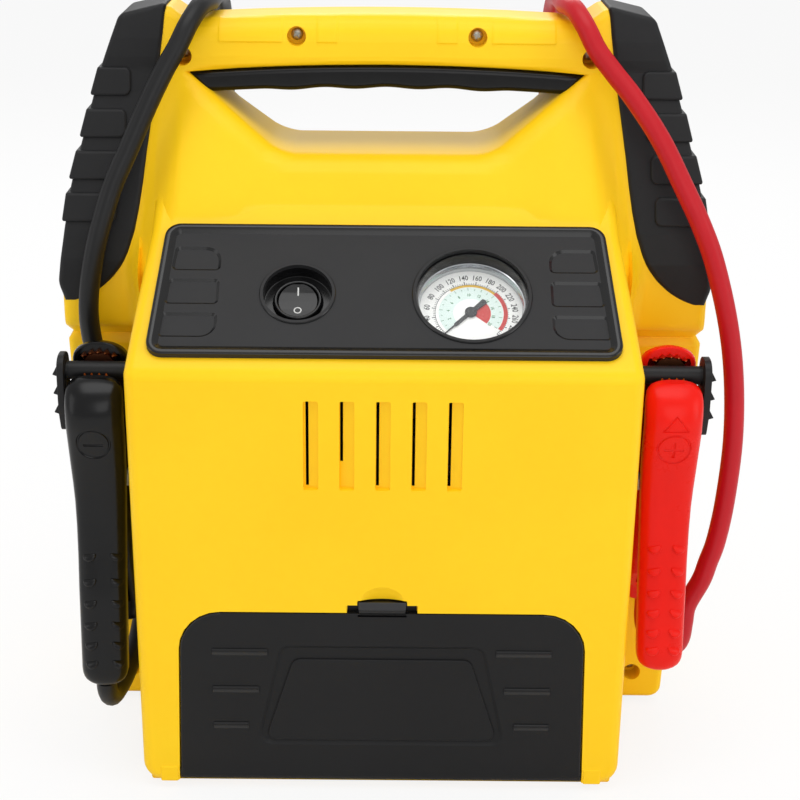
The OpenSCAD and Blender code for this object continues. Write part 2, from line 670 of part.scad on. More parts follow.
// Sealed lead-acid battery and its two terminals
module battery() {
    color("#2a2d33") translate([-battery_w / 2, battery_y0, battery_z])
        cube([battery_w, battery_d, battery_h]);
}
module battery_terminals() {
    color("#b08d57") for (x = [-1, 1]) translate([x * (battery_w / 2 - 14.5) - 6, battery_y0 + 26.5, battery_z + battery_h])
        difference() {
            cube([12, 14, 7]);
            translate([6, 7, -1]) cylinder(r = 2.8, h = 10);
        }
}
board_w = 90;
board_h = 52;
module control_board() {
    color("#1f6b3a") {
        translate([-board_w / 2, board_y, rear_z - board_h / 2]) cube([board_w, 1.6, board_h]);
        for (x = [4 - board_w / 2, board_w / 2 - 4], z = [4 - board_h / 2, board_h / 2 - 4])
            rod_y_at(x, rear_z + z, board_y + 1.6, low_y - wall, 3);
        for (x = [-30, -6, 18]) translate([x, board_y - 3, rear_z - 12]) cube([14, 3, 9]);
    }
}

module rubber_feet() {
    color("#232325") both_sides() for (y = [-28, 28]) translate([112, mid_y + y, 0])
        cylinder(r = foot_r, h = foot_h);
}
module shell_screws() {
    color("#b8bcc2") both_sides() for (s = screws) difference() {
        union() {
            rod_y_at(s[0], s[1], front_at(s[1]) + well - 2.2, front_at(s[1]) + well, screw_head_r);
            rod_y_at(s[0], s[1], front_at(s[1]) + well, mid_y + 12, screw_r);
        }
        translate([s[0], front_at(s[1]) + well - 2.2, s[1]]) for (a = [0, 90]) rotate([0, a, 0])
            cube([4, 2, 0.9], center = true);
    }
}

// Parking post for a clamp: a rod with a toothed end plate
module right_clamp_post() {
    post_x = clamp_x + clamp_w / 2 + 1;
    color("#2b2b2d") {
        rod_x_at(rod_y, rod_z, box_w / 2 - 6, post_x, rod_r);
        along_x(post_x, post_x + 3) polygon(rounded([[rod_y + 7, rod_z + 8, 6.5], [rod_y - 9, rod_z + 8, 6.5],
            [rod_y - 9, rod_z - 14, 6], [rod_y - 5, rod_z - 26, 3], [rod_y + 3, rod_z - 26, 3],
            [rod_y + 7, rod_z - 14, 6]]));
        for (k = [0:2]) along_y(rod_y - 7, rod_y + 5) polygon([[post_x + 2, rod_z - 18 + 8.5 * k],
            [post_x + 5.2, rod_z - 17 + 8.5 * k], [post_x + 2, rod_z - 11 + 8.5 * k]]);
    }
}
module left_clamp_post() {
    mirror([1, 0, 0]) right_clamp_post();
}

// Clamp halves, placed from the pivot; z_end is the lower end of a grip
front_end = -18.5;                          // middle of the front grip's end
rear_end = 29.5;                            // middle of the rear grip's end
end_t = 5.5;                                // half the thickness of a grip's end
black_front_z = -91;
red_front_z = -81;
black_rear_z = -84;
red_rear_z = -71;
front_inner = rod_y - pivot_y - rod_r - skin;   // inner face of the front jaw
rear_inner = rod_y - pivot_y + rod_r + skin;    // inner face of the rear jaw
jaw_t = 2.1;
lug_t = 1.3;
front_lug_x = 7;
rear_lug_x = 8.5;
function front_outline(z_end) = rounded([[front_inner - jaw_t, 51, 1.5], [-13, 50.5, 4],
    [-22, 36, 12], [-23.5, 18, 14], [-15, -6, 25], [front_end - end_t - 3, z_end + 14, 20],
    [front_end - end_t, z_end, 4], [front_end + end_t, z_end, 4],
    [front_end + end_t - 1, z_end + 20, 15], [-3, -12, 8], [-4.5, 14, 8],
    [front_inner - jaw_t, 32, 6]]);
function rear_outline(z_end) = rounded([[rear_inner + jaw_t, 57, 1.5], [9, 57.5, 3],
    [15, 47, 10], [20, 24, 14], [14, -4, 25], [rear_end + end_t + 2, z_end + 14, 20],
    [rear_end + end_t, z_end, 4], [rear_end - end_t, z_end, 4],
    [rear_end - end_t + 1, z_end + 20, 15], [3, -12, 8], [4, 14, 8]]);
module at_pivot(side) {
    translate([side * clamp_x, pivot_y, pivot_z]) children();
}
// Plastic grip, hollow towards the other half; dir is 1 where that half lies behind it
module grip(outline, dir, z_end, top) {
    half_w = clamp_w / 2;
    back = dir > 0 ? front_inner - jaw_t : rear_inner + jaw_t;
    difference() {
        intersection() {
            along_x(-half_w, half_w) polygon(outline);
            along_y(-50, 50) polygon(both(rounded([[0, z_end, 0], [half_w - 2, z_end, 4],
                [half_w - 1.5, z_end + 30, 10], [half_w - 2, -14, 20], [half_w, 18, 20],
                [half_w, top - 12, 8], [half_w - 4, top - 2, 8], [0, top + 0.5, 0]])));
        }
        grip_space(outline, dir, half_w - 1.8, -16, top - 3);
        grip_space(outline, dir, half_w - 4.4, z_end + 12, -15.9);
        rod_x_at(0, 0, -clamp_w, clamp_w, pivot_r + 2.2);
    }
    for (z = [30, 42]) intersection() {
        along_x(-half_w, half_w) polygon(outline);
        rod_y_at(0, z, dir > 0 ? -30 : back, dir > 0 ? back : 30, 2.6);
    }
}
module grip_space(outline, dir, x, z0, z1) {
    intersection() {
        along_x(-x, x) translate([dir * grip_wall, 0]) polygon(outline);
        translate([-20, -60, z0]) cube([40, 120, z1 - z0]);
    }
}
// Toothed copper jaw: a plate with two lugs round the pivot pin
module jaw(dir, inner, lug_x, top) {
    outer = inner - dir * jaw_t;
    y0 = min(inner, outer);
    w = lug_x + lug_t;
    color("#b5713f") difference() {
        union() {
            along_y(y0, y0 + jaw_t) polygon(both(rounded([[0, 20, 0], [w, 20, 1], [w, top - 8, 8],
                [w - 6, top, 4], [0, top, 0]])));
            for (k = [0:3]) along_x(-w + 2, w - 2) polygon([[inner - dir * 0.5, 26 + 4 * k],
                [inner + dir * 1.3, 28 + 4 * k], [inner - dir * 0.5, 30 + 4 * k]]);
            for (x = [-w, lug_x]) {
                along_x(x, x + lug_t) polygon([[outer, 28], [inner, 28], [dir * 4, 1],
                    [dir * 3, -4], [-dir * 4, -3]]);
                rod_x_at(0, 0, x, x + lug_t, 5);
            }
        }
        rod_x_at(0, 0, -20, 20, pivot_r + running);
    }
}
module clamp_pin() {
    color("#c4c8cc") {
        rod_x_at(0, 0, -11.4, 11.4, pivot_r);
        for (x = [-11.8, 10.4]) rod_x_at(0, 0, x, x + 1.4, 4);
    }
}
// Torsion spring round the pin, with its two legs pointing down
coil_r = 5.2;
coil_half = 5.75;
spring_path = concat([[-coil_half, coil_r, -9]], [for (i = [0:(spring_turns - 0.5) * 8])
    let (a = 45 * i) [-coil_half + 2 * coil_half * i / ((spring_turns - 0.5) * 8),
    coil_r * cos(a), coil_r * sin(a)]], [[coil_half, -coil_r, -9]]);
function least_gap(p, r, apart) = min([for (i = [0:len(p) - 1 - apart], j = [i + apart:len(p) - 1])
    norm(p[j] - p[i])]) - 2 * r;
module clamp_spring() {
    echo(spring_gap = least_gap(spring_path, wire_r, 6));
    color("#a9adb3") tube(spring_path, wire_r, 6);
}
module black_front_grip() {
    color("#2c2c2e") at_pivot(-1) grip(front_outline(black_front_z), 1, black_front_z, 51);
}
module black_rear_grip() {
    color("#2c2c2e") at_pivot(-1) grip(rear_outline(black_rear_z), -1, black_rear_z, 57);
}
module red_front_grip() {
    color("#e8261c") at_pivot(1) grip(front_outline(red_front_z), 1, red_front_z, 51);
}
module red_rear_grip() {
    color("#e8261c") at_pivot(1) grip(rear_outline(red_rear_z), -1, red_rear_z, 57);
}
module black_front_jaw() {
    at_pivot(-1) jaw(1, front_inner, front_lug_x, 48);
}
module black_rear_jaw() {
    at_pivot(-1) jaw(-1, rear_inner, rear_lug_x, 56);
}
module red_front_jaw() {
    at_pivot(1) jaw(1, front_inner, front_lug_x, 48);
}
module red_rear_jaw() {
    at_pivot(1) jaw(-1, rear_inner, rear_lug_x, 56);
}
module black_clamp_pin() {
    at_pivot(-1) clamp_pin();
}
module red_clamp_pin() {
    at_pivot(1) clamp_pin();
}
module black_clamp_spring() {
    at_pivot(-1) clamp_spring();
}
module red_clamp_spring() {
    at_pivot(1) clamp_spring();
}

// Strain reliefs of the leads; each points up and back from the frame's lean
gland_tip = [80, 95, 272];
gland_lean = 40;
gland_l = 26;
stem_r = 5;
module at_gland() {
    translate(gland_tip) rotate([-gland_lean, 0, 0]) children();
}
module right_gland() {
    color("#1d1d1f") {
        difference() {
            at_gland() {
                translate([0, 0, -gland_l]) cylinder(r1 = 8.5, r2 = 5.8, h = gland_l);
                translate([0, 0, -gland_l - 10]) cylinder(r = 10, h = 15);
            }
            along_x(gland_tip[0] - 20, gland_tip[0] + 20) polygon(frame_profile);
        }
        at_gland() translate([0, 0, -gland_l - 12]) cylinder(r = stem_r, h = 14);
    }
}
module left_gland() {
    mirror([1, 0, 0]) right_gland();
}

// Booster leads, from gland over the handle's end to the clamp
over_handle = [[80, 95, 272], [80, 101, 280], [80, 105, 298], [80, 99, 315], [80, 83, 328],
    [80, 60, 332], [80, 38, 331.8], [80.5, 26, 332.6], [83, 15, 331.6]];
black_route = concat([for (p = over_handle) [-p[0], p[1], p[2]]], [[-87, 6, 325.5], [-91.5, 1, 316.5],
    [-97, -3, 307], [-104, -8, 293], [-113, -14, 273], [-120, -19, 257], [-127, -25, 233],
    [-131, -26, 210], [-131, -23.5, 191], [-127, -20, 172], [-119, -16.5, 152], [-113.5, -15, 130],
    [-113, -15, 100], [-113.2, -15.5, 72], [-113.6, -17, 59], [-115, -22.5, 46.5], [-117.3, -34, 37.2],
    [-119.6, -48, 33], [-121.4, -60, 32.6], [-122.3, -67.4, 34], [-122.8, -72.8, 38],
    [-123, -75.6, 42.8], [-123, -76.5, 47]]);
red_route = concat(over_handle, [[87, 6.5, 325.5], [91.5, 2, 316.5], [97, -2, 308], [105, -8, 297],
    [116, -17, 281], [128, -25, 262], [139, -30, 246], [147, -32, 229], [153, -34, 203],
    [156, -36, 178], [156.2, -39, 150.3], [154.4, -41, 122], [151.4, -43, 103], [148.3, -44, 92.5],
    [145.6, -45, 83.9], [139.8, -46, 72], [138.6, -46.9, 63.5], [138, -46.6, 56.5],
    [136.6, -44.9, 51.2], [134, -41.8, 47.4], [130.5, -37.6, 46], [126.9, -33.2, 47.4],
    [124.1, -29.8, 51.8], [123.1, -28.6, 57], [123, -28.5, 62], [123, -28.5, 67]]);
function route_length(p) = len(p) < 2 ? 0 : norm(p[1] - p[0])
    + route_length([for (i = [1:len(p) - 1]) p[i]]);
module lead(route) {
    path = smooth(route, 2);
    echo(lead_length = route_length(path));
    tube(path, lead_r, 10);
}
module black_lead() {
    color("#242426") lead(black_route);
}
module red_lead() {
    color("#c81e2d") lead(red_route);
}

// Rear panel with the 12 V sockets, charge port, lights, test button and lamp switch
port_x = 56;
port_r = 5.5;
button_x = 56;
button_r = 4;
rocker_x = -56;
low_row = rear_z - 16;
top_row = rear_z + 14;
light_x = [-24, -8, 8, 24];
module rear_panel() {
    color("#333335") difference() {
        along_y(low_y, rear_face) polygon(rect(-rear_w / 2, rear_z - rear_h / 2, rear_w / 2,
            rear_z + rear_h / 2, 6));
        for (x = [-socket_x, socket_x]) rod_y_at(x, rear_z, low_y - 1, rear_face + 1, socket_r + 2);
        for (x = light_x) rod_y_at(x, top_row, low_y - 1, rear_face + 1, 2.6);
        rod_y_at(port_x, low_row, low_y - 1, rear_face + 1, port_r + 1.6);
        rod_y_at(button_x, top_row, low_y - 1, rear_face + 1, button_r + skin);
        translate([rocker_x - 9 - skin, low_y - 1, top_row - 5.5 - skin])
            cube([18 + 2 * skin, rear_t + 2, 11 + 2 * skin]);
        rod_x_at(rocker_y, top_row, rocker_x - 10.6, rocker_x + 10.6, 0.8 + running);
    }
}
flap_rise = 4.2;                            // hinge axis above the flap's edge
flap_y = rear_face + 3.4;
module hinge_ears(x, z, r) {
    translate([x - 7.5, rear_face, z + r - 1]) cube([15, 1, flap_rise + 3.4]);
    for (side = [-7.5, 5]) difference() {
        along_x(x + side, x + side + 2.5) polygon(rect(rear_face, z + r + flap_rise - 2.4,
            rear_face + 5.6, z + r + flap_rise + 2.4, 1.5));
        rod_x_at(flap_y, z + r + flap_rise, x + side - 1, x + side + 4, 1.2 + running);
    }
}
module flap(x, z, r) {
    rod_y_at(x, z, rear_face + 2 + skin, rear_face + 4 + skin, r);
    translate([x - 4, rear_face + 2 + skin, z + r - 2]) cube([8, 2, flap_rise + 2]);
    rod_x_at(flap_y, z + r + flap_rise, x - 4.6, x + 4.6, 2.1);
    rod_x_at(flap_y, z + r + flap_rise, x - 7.2, x + 7.2, 1.2);
}
module right_socket() {
    color("#2a2a2c") difference() {
        union() {
            rod_y_at(socket_x, rear_z, rear_face, rear_face + 2, socket_r + 5.5);
            rod_y_at(socket_x, rear_z, rear_face - socket_l, rear_face + 1, socket_r + 1.8);
            hinge_ears(socket_x, rear_z, socket_r + 4);
        }
        rod_y_at(socket_x, rear_z, rear_face + 2 - socket_l, rear_face + 3, socket_r);
    }
}
module left_socket() {
    mirror([1, 0, 0]) right_socket();
}
module right_socket_cap() {
    color("#242426") flap(socket_x, rear_z, socket_r + 4);
}
module left_socket_cap() {
    mirror([1, 0, 0]) right_socket_cap();
}
module charge_port() {
    color("#202022") {
        difference() {
            union() {
                rod_y_at(port_x, low_row, rear_face, rear_face + 2, port_r + 3);
                rod_y_at(port_x, low_row, rear_face - 11, rear_face + 1, port_r + 1.4);
                hinge_ears(port_x, low_row, port_r + 1.5);
            }
            rod_y_at(port_x, low_row, rear_face - 9, rear_face + 3, port_r - 1.5);
        }
        rod_y_at(port_x, low_row, rear_face - 10, rear_face - 2, 1.1);
    }
}
module charge_cap() {
    color("#2e2e30") flap(port_x, low_row, port_r + 1.5);
}
module status_lights() {
    color("#5ec45e") {
        along_y(low_y - 2, low_y) polygon(rect(-31, top_row - 6, 31, top_row + 6, 1));
        for (x = light_x) rod_y_at(x, top_row, low_y - 1, rear_face + 0.8, 2.4);
    }
}
module test_button() {
    color("#d0352b") {
        rod_y_at(button_x, top_row, low_y - 2.2, rear_face + 1.8, button_r);
        rod_y_at(button_x, top_row, low_y - 2.2, low_y - 0.4, button_r + 1.4);
    }
}
rocker_y = low_y + 1.5;                     // axis of the lamp's switch
module lamp_rocker() {
    color("#161618") {
        translate([rocker_x, rocker_y, top_row]) rotate([8, 0, 0])
            along_x(-9, 9) polygon([[-4, -4.6], [1.6, -5.1], [2.6, -5.1], [1.4, 0],
                [2.6, 5.1], [1.6, 5.1], [-4, 4.6]]);
        rod_x_at(rocker_y, top_row, rocker_x - 10.2, rocker_x + 10.2, 0.8);
    }
}

// Work light across the rear of the shoulders
lamp_w = 70;
lamp_h = 30;
lamp_z0 = shoulder_z + 1;
lamp_in = 5;                                // depth of the lens's rim
module lamp_lens() {
    color("#e6eef2") difference() {
        union() {
            along_y(shoulder_y, shoulder_y + 2) polygon(rect(-lamp_w / 2, lamp_z0, lamp_w / 2,
                lamp_z0 + lamp_h, 4));
            along_y(shoulder_y - lamp_in, shoulder_y) polygon(rect(-lamp_w / 2 + 2.2,
                lamp_z0 + 2.2, lamp_w / 2 - 2.2, lamp_z0 + lamp_h - 2.2, 1));
        }
        along_y(shoulder_y - lamp_in - 1, shoulder_y + 0.4) polygon(rect(-lamp_w / 2 + 4,
            lamp_z0 + 4, lamp_w / 2 - 4, lamp_z0 + lamp_h - 4, 1));
    }
}
module lamp_board() {
    color("#e9e9e2") {
        along_y(shoulder_y - lamp_in - 1.6, shoulder_y - lamp_in) polygon(rect(-lamp_w / 2 + 2.2,
            lamp_z0 + 2.2, lamp_w / 2 - 2.2, lamp_z0 + lamp_h - 2.2, 1));
        for (x = [-20, -10, 0, 10, 20]) rod_y_at(x, lamp_z0 + lamp_h / 2,
            shoulder_y - lamp_in - 0.5, shoulder_y - lamp_in + 2, 3);
    }
}

front_shell();
rear_shell();
left_bumper();
right_bumper();
handle_grip();
control_panel();
gauge_case();
gauge_dial();
gauge_needle();
gauge_lens();
switch_body();
switch_rocker();
hose_bay();
air_outlet();
hose_door();
door_latch();
compressor_mount();
compressor_motor();
compressor_pump();
cooling_fan();
battery();
battery_terminals();
control_board();
rubber_feet();
shell_screws();
left_clamp_post();
right_clamp_post();
black_front_grip();
black_rear_grip();
black_front_jaw();
black_rear_jaw();
black_clamp_pin();
black_clamp_spring();
red_front_grip();
red_rear_grip();
red_front_jaw();
red_rear_jaw();
red_clamp_pin();
red_clamp_spring();
left_gland();
right_gland();
black_lead();
red_lead();
rear_panel();
left_socket();
right_socket();
left_socket_cap();
right_socket_cap();
charge_port();
charge_cap();
status_lights();
test_button();
lamp_rocker();
lamp_board();
lamp_lens();
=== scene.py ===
import json
import math

import bmesh
import bpy
import numpy as np
from mathutils import Matrix, Vector
from mathutils.bvhtree import BVHTree


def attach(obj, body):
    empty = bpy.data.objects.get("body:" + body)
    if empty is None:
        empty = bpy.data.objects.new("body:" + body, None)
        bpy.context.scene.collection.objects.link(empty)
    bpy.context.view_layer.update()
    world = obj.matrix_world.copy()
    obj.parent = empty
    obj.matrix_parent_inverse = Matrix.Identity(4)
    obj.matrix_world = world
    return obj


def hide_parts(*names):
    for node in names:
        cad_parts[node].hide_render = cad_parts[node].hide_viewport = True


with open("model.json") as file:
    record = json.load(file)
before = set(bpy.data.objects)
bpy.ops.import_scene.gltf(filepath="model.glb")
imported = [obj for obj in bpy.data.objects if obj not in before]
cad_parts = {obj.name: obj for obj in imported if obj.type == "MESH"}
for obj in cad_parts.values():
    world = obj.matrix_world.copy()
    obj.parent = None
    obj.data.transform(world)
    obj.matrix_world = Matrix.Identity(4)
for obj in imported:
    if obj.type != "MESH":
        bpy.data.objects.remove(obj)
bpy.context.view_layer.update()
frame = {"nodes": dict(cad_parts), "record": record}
nodes = frame["nodes"]
slots = {part["node"]: part["material_slot"] for part in frame["record"]["subparts"]}

# All shapes are drawn in millimetres and scaled when a piece is finished.
mm = 0.001
midY = 35.0  # parting plane of the two housings
shoulderZ = 194  # where the frame's straight sides end
boxFront, boxKnee, boxLean = -89.5, 197, 36  # compressor housing: front face, start and angle of its slope
cameraView = {"place": (0.0, -0.768794, 0.433497), "aim": (0.0, -0.025, 0.162778),
              "roll": 0.5, "lens": 78.75, "sensor": 36.0, "shiftX": 0.02}


def linked(name, data):
    obj = bpy.data.objects.new(name, data)
    bpy.context.scene.collection.objects.link(obj)
    return obj


def makeCamera(view):
    data = bpy.data.cameras.new("camera")
    data.lens, data.sensor_width, data.shift_x = view["lens"], view["sensor"], view["shiftX"]
    camera = linked("camera", data)
    camera.location = view["place"]
    gaze = Vector(view["aim"]) - Vector(view["place"])
    turn = gaze.to_track_quat("-Z", "Y").to_matrix() @ Matrix.Rotation(math.radians(view["roll"]), 3, "Z")
    camera.rotation_euler = turn.to_euler()
    bpy.context.scene.camera = camera


makeCamera(cameraView)
print("camera placed")

# Node groups that several materials share. A socket that isn't listed here is a plain number.
socketKinds = {"Vector": "NodeSocketVector", "Base": "NodeSocketColor", "Shade": "NodeSocketColor",
               "Color": "NodeSocketColor"}


def newGroup(name, inputs, output):
    group = bpy.data.node_groups.new(name, "ShaderNodeTree")
    for label, value in inputs.items():
        group.interface.new_socket(name=label, in_out="INPUT",
                                   socket_type=socketKinds.get(label, "NodeSocketFloat")).default_value = value
    group.interface.new_socket(name=output, in_out="OUTPUT", socket_type=socketKinds.get(output, "NodeSocketFloat"))
    return group, group.nodes.new("NodeGroupInput"), group.nodes.new("NodeGroupOutput")


def setInputs(node, values):
    for key, value in values.items():
        node.inputs[key].default_value = value


def addNode(tree, kind, values=None, **settings):
    node = tree.nodes.new("ShaderNode" + kind)
    for key, value in settings.items():
        setattr(node, key, value)
    setInputs(node, values or {})
    return node


def wire(tree, *links):  # each link is a node, its output, the next node, its input
    for source, output, target, socket in links:
        tree.links.new(source.outputs[output], target.inputs[socket])


def makeMouldGrain():  # fine spark-eroded texture of a moulding, with a slow swell under it
    group, given, out = newGroup("mouldGrain", {"Vector": (0, 0, 0), "Grain Scale": 900.0, "Swell": 0.3}, "Height")
    fine = addNode(group, "TexNoise", {"Detail": 3.0, "Roughness": 0.6})
    pits = addNode(group, "TexVoronoi")
    slow = addNode(group, "TexNoise", {"Scale": 22.0, "Detail": 2.0})
    coarser = addNode(group, "Math", {1: 0.55}, operation="MULTIPLY")
    mixed = addNode(group, "Math", {2: 0.4}, operation="MULTIPLY_ADD")
    total = addNode(group, "Math", operation="MULTIPLY_ADD")
    wire(group, *[(given, "Vector", texture, "Vector") for texture in (fine, pits, slow)],
         (given, "Grain Scale", fine, "Scale"), (given, "Grain Scale", coarser, 0), (coarser, 0, pits, "Scale"),
         (pits, "Distance", mixed, 0), (fine, "Fac", mixed, 1), (slow, "Fac", total, 0),
         (given, "Swell", total, 1), (mixed, 0, total, 2), (total, 0, out, "Height"))
    return group


def makeToneDrift():  # colour that wanders a little, as pigment and handling leave it
    group, given, out = newGroup("toneDrift", {"Vector": (0, 0, 0), "Base": (0.8, 0.8, 0.8, 1),
                                               "Shade": (0.6, 0.6, 0.6, 1), "Amount": 0.5, "Scale": 14.0}, "Color")
    cloud = addNode(group, "TexNoise", {"Detail": 4.0, "Roughness": 0.55})
    speck = addNode(group, "TexNoise", {"Scale": 260.0, "Detail": 2.0})
    both = addNode(group, "Math", {1: 0.25}, operation="MULTIPLY_ADD")
    spread = addNode(group, "MapRange", {"From Min": 0.42, "From Max": 0.8})
    amount = addNode(group, "Math", operation="MULTIPLY")
    mix = addNode(group, "Mix", data_type="RGBA")
    wire(group, (given, "Vector", cloud, "Vector"), (given, "Scale", cloud, "Scale"),
         (given, "Vector", speck, "Vector"), (speck, "Fac", both, 0), (cloud, "Fac", both, 2),
         (both, 0, spread, "Value"), (spread, "Result", amount, 0), (given, "Amount", amount, 1),
         (amount, 0, mix, "Factor"), (given, "Base", mix, 6), (given, "Shade", mix, 7), (mix, 2, out, "Color"))
    return group


def makeHandling():  # gloss that varies with rubbing: broad patches and fine scuffs
    group, given, out = newGroup("handling", {"Vector": (0, 0, 0), "Roughness": 0.4, "Spread": 0.08}, "Roughness")
    patch = addNode(group, "TexNoise", {"Scale": 30.0, "Detail": 3.0})
    scuff = addNode(group, "TexNoise", {"Scale": 420.0, "Detail": 5.0, "Distortion": 1.2})
    both = addNode(group, "Math", {1: 0.6}, operation="MULTIPLY_ADD")
    centred = addNode(group, "Math", {1: 0.8}, operation="SUBTRACT")
    total = addNode(group, "Math", operation="MULTIPLY_ADD")
    wire(group, (given, "Vector", patch, "Vector"), (given, "Vector", scuff, "Vector"),
         (scuff, "Fac", both, 0), (patch, "Fac", both, 2), (both, 0, centred, 0), (centred, 0, total, 0),
         (given, "Spread", total, 1), (given, "Roughness", total, 2), (total, 0, out, "Roughness"))
    return group


mouldGrain, toneDrift, handling = makeMouldGrain(), makeToneDrift(), makeHandling()


def tint(code):  # written colour to Blender's linear one
    parts = [int(code[i:i + 2], 16) / 255 for i in (1, 3, 5)]
    return tuple(p / 12.92 if p <= 0.04045 else ((p + 0.055) / 1.055) ** 2.4 for p in parts) + (1.0,)


def newMaterial(name):
    material = bpy.data.materials.new(name)
    material.use_nodes = True
    return material, material.node_tree, material.node_tree.nodes["Principled BSDF"]


def newFinish(name, base, shade, rough, spread=0.06, drift=0.5, driftScale=14.0, grain=900.0, grainDepth=0.00001,
              swell=0.2, metallic=0.0, coat=0.0, specular=0.5, subsurface=0.0, glow=0.0):
    material, tree, shader = newMaterial(name)
    place = addNode(tree, "TexCoord")
    colour = addNode(tree, "Group", {"Base": tint(base), "Shade": tint(shade), "Amount": drift, "Scale": driftScale},
                     node_tree=toneDrift)
    gloss = addNode(tree, "Group", {"Roughness": rough, "Spread": spread}, node_tree=handling)
    relief = addNode(tree, "Group", {"Grain Scale": grain, "Swell": swell}, node_tree=mouldGrain)
    bump = addNode(tree, "Bump", {"Strength": 0.6, "Distance": grainDepth})
    wire(tree, *[(place, "Object", group, "Vector") for group in (colour, gloss, relief)],
         (colour, "Color", shader, "Base Color"), (gloss, "Roughness", shader, "Roughness"),
         (relief, "Height", bump, "Height"), (bump, "Normal", shader, "Normal"))
    setInputs(shader, {"Metallic": metallic, "Coat Weight": coat, "Coat Roughness": 0.12,
                       "Specular IOR Level": specular})
    # glow makes the finish's own colour shine as emission: painted light on a part that is no lamp
    if glow:
        wire(tree, (colour, "Color", shader, "Emission Color"))
        setInputs(shader, {"Emission Strength": glow})
    if subsurface:
        setInputs(shader, {"Subsurface Weight": subsurface, "Subsurface Radius": (1.0, 0.5, 0.1),
                           "Subsurface Scale": 0.003})
    return material


def newInk(name, base, shade, **more):
    return newFinish(name, base, shade, 0.5, grainDepth=0.000002, **more)


def newMetal(name, base, shade, rough, drift, **more):
    return newFinish(name, base, shade, rough, drift=drift, metallic=1.0, **more)


finish = {
    "yellow": newFinish("yellowPlastic", "#FFD117", "#FFC70E", 0.4, grainDepth=0.000006, specular=0.22),
    "red": newFinish("redPlastic", "#EC180A", "#DA1307", 0.28, specular=0.18),
    "blackPlastic": newFinish("blackPlastic", "#1D1D1E", "#161617", 0.42, drift=0.6, grainDepth=0.000015,
                              specular=0.25),
    "blackGloss": newFinish("blackGloss", "#121213", "#0C0C0D", 0.24, spread=0.04, grainDepth=0.000003, specular=0.4),
    "rubber": newFinish("bumperRubber", "#202021", "#19191A", 0.5, drift=0.7, grainDepth=0.00003, swell=0.5,
                        specular=0.22),
    "clampBlack": newFinish("clampBlack", "#0A0A0B", "#060607", 0.23, grainDepth=0.000008, specular=0.28),
    "panelEdge": newFinish("panelEdge", "#0E0E0F", "#09090A", 0.22, drift=0.4, grainDepth=0.000004, specular=0.45),
    "panel": newFinish("panelPlastic", "#2B2B2C", "#242425", 0.5, grain=1500.0, grainDepth=0.00002, specular=0.2),
    "door": newFinish("doorPlastic", "#1B1B1C", "#151516", 0.46, grain=1300.0, grainDepth=0.00002, specular=0.2),
    "redCable": newFinish("redCable", "#C20F1E", "#AC0B18", 0.42, spread=0.08, specular=0.3),
    "blackCable": newFinish("blackCable", "#161617", "#101011", 0.42, spread=0.08, specular=0.3),
    # lighter grey for the front of the latch's tab: painted highlight
    "latchTabHighlight": newFinish("latchTabHighlight", "#323234", "#2A2A2C", 0.42, grainDepth=0.000006, specular=0.3),
    "copper": newMetal("copperPlate", "#C97A4A", "#A85A32", 0.3, 0.8, driftScale=60.0, spread=0.12),
    # darker copy of the copper for the jaws: painted shade of the clamps' mouths; the teeth keep the bright copper
    "jawCopper": newMetal("jawCopper", "#5A3420", "#42251A", 0.48, 0.8, driftScale=60.0, spread=0.1),
    "brass": newMetal("brass", "#C9A24B", "#A98436", 0.28, 0.6, driftScale=60.0, spread=0.1),
    "zinc": newMetal("zincPlate", "#B9B7AE", "#9C9A90", 0.34, 0.7, driftScale=80.0, spread=0.12),
    "chrome": newMetal("rimMetal", "#C8CBCE", "#B4B7BA", 0.16, 0.4, spread=0.05, grainDepth=0.000002),
    "castAlloy": newMetal("castAlloy", "#A2A6AA", "#85898D", 0.5, 0.8, driftScale=40.0, grainDepth=0.00006),
    "battery": newFinish("batteryCase", "#2D3036", "#24262B", 0.5, grainDepth=0.00003),
    "board": newFinish("boardGreen", "#1F6B3A", "#175430", 0.35, coat=0.3, driftScale=120.0),
    "led": newFinish("ledGreen", "#5EC45E", "#46A84A", 0.3, coat=0.4, subsurface=0.2),
    # the dial card glows a little: painted light that keeps it white down in the gauge's cup
    "dialWhite": newInk("dialCard", "#F8F8F5", "#F0F0EC", drift=0.4, glow=0.2),
    "ink": newInk("dialInk", "#1C1C1E", "#131314"),
    "greenInk": newInk("greenInk", "#2E8B4E", "#25763F"),
    "yellowInk": newInk("yellowInk", "#F2C21E", "#E4B213"),
    "redInk": newInk("redInk", "#DD2A1F", "#C8221A"),
    # the pale zone glows a little: painted light
    "mintInk": newInk("mintInk", "#E6F6F0", "#DBF0E7", glow=0.12),
    "markWhite": newFinish("markWhite", "#D9D9D6", "#CACAC6", 0.5, grainDepth=0.000004),
}


def makeClear(name, rough, alpha=1.0):
    material, tree, shader = newMaterial(name)
    place = addNode(tree, "TexCoord")
    tone = addNode(tree, "Group", {"Base": tint("#F6FAFB"), "Shade": tint("#E8EEF0")}, node_tree=toneDrift)
    gloss = addNode(tree, "Group", {"Roughness": rough, "Spread": 0.03}, node_tree=handling)
    wire(tree, (place, "Object", tone, "Vector"), (place, "Object", gloss, "Vector"),
         (tone, "Color", shader, "Base Color"), (gloss, "Roughness", shader, "Roughness"))
    setInputs(shader, {"Alpha": alpha, "Transmission Weight": 1.0 if alpha == 1.0 else 0.0, "IOR": 1.2})
    return material


finish["clear"] = makeClear("clearPlastic", 0.05)
finish["window"] = makeClear("gaugeWindow", 0.04, 0.05)


# Making and finishing pieces.
def newObject(bm, name="part"):
    mesh = bpy.data.meshes.new(name)
    bm.to_mesh(mesh)
    bm.free()
    return linked(name, mesh)


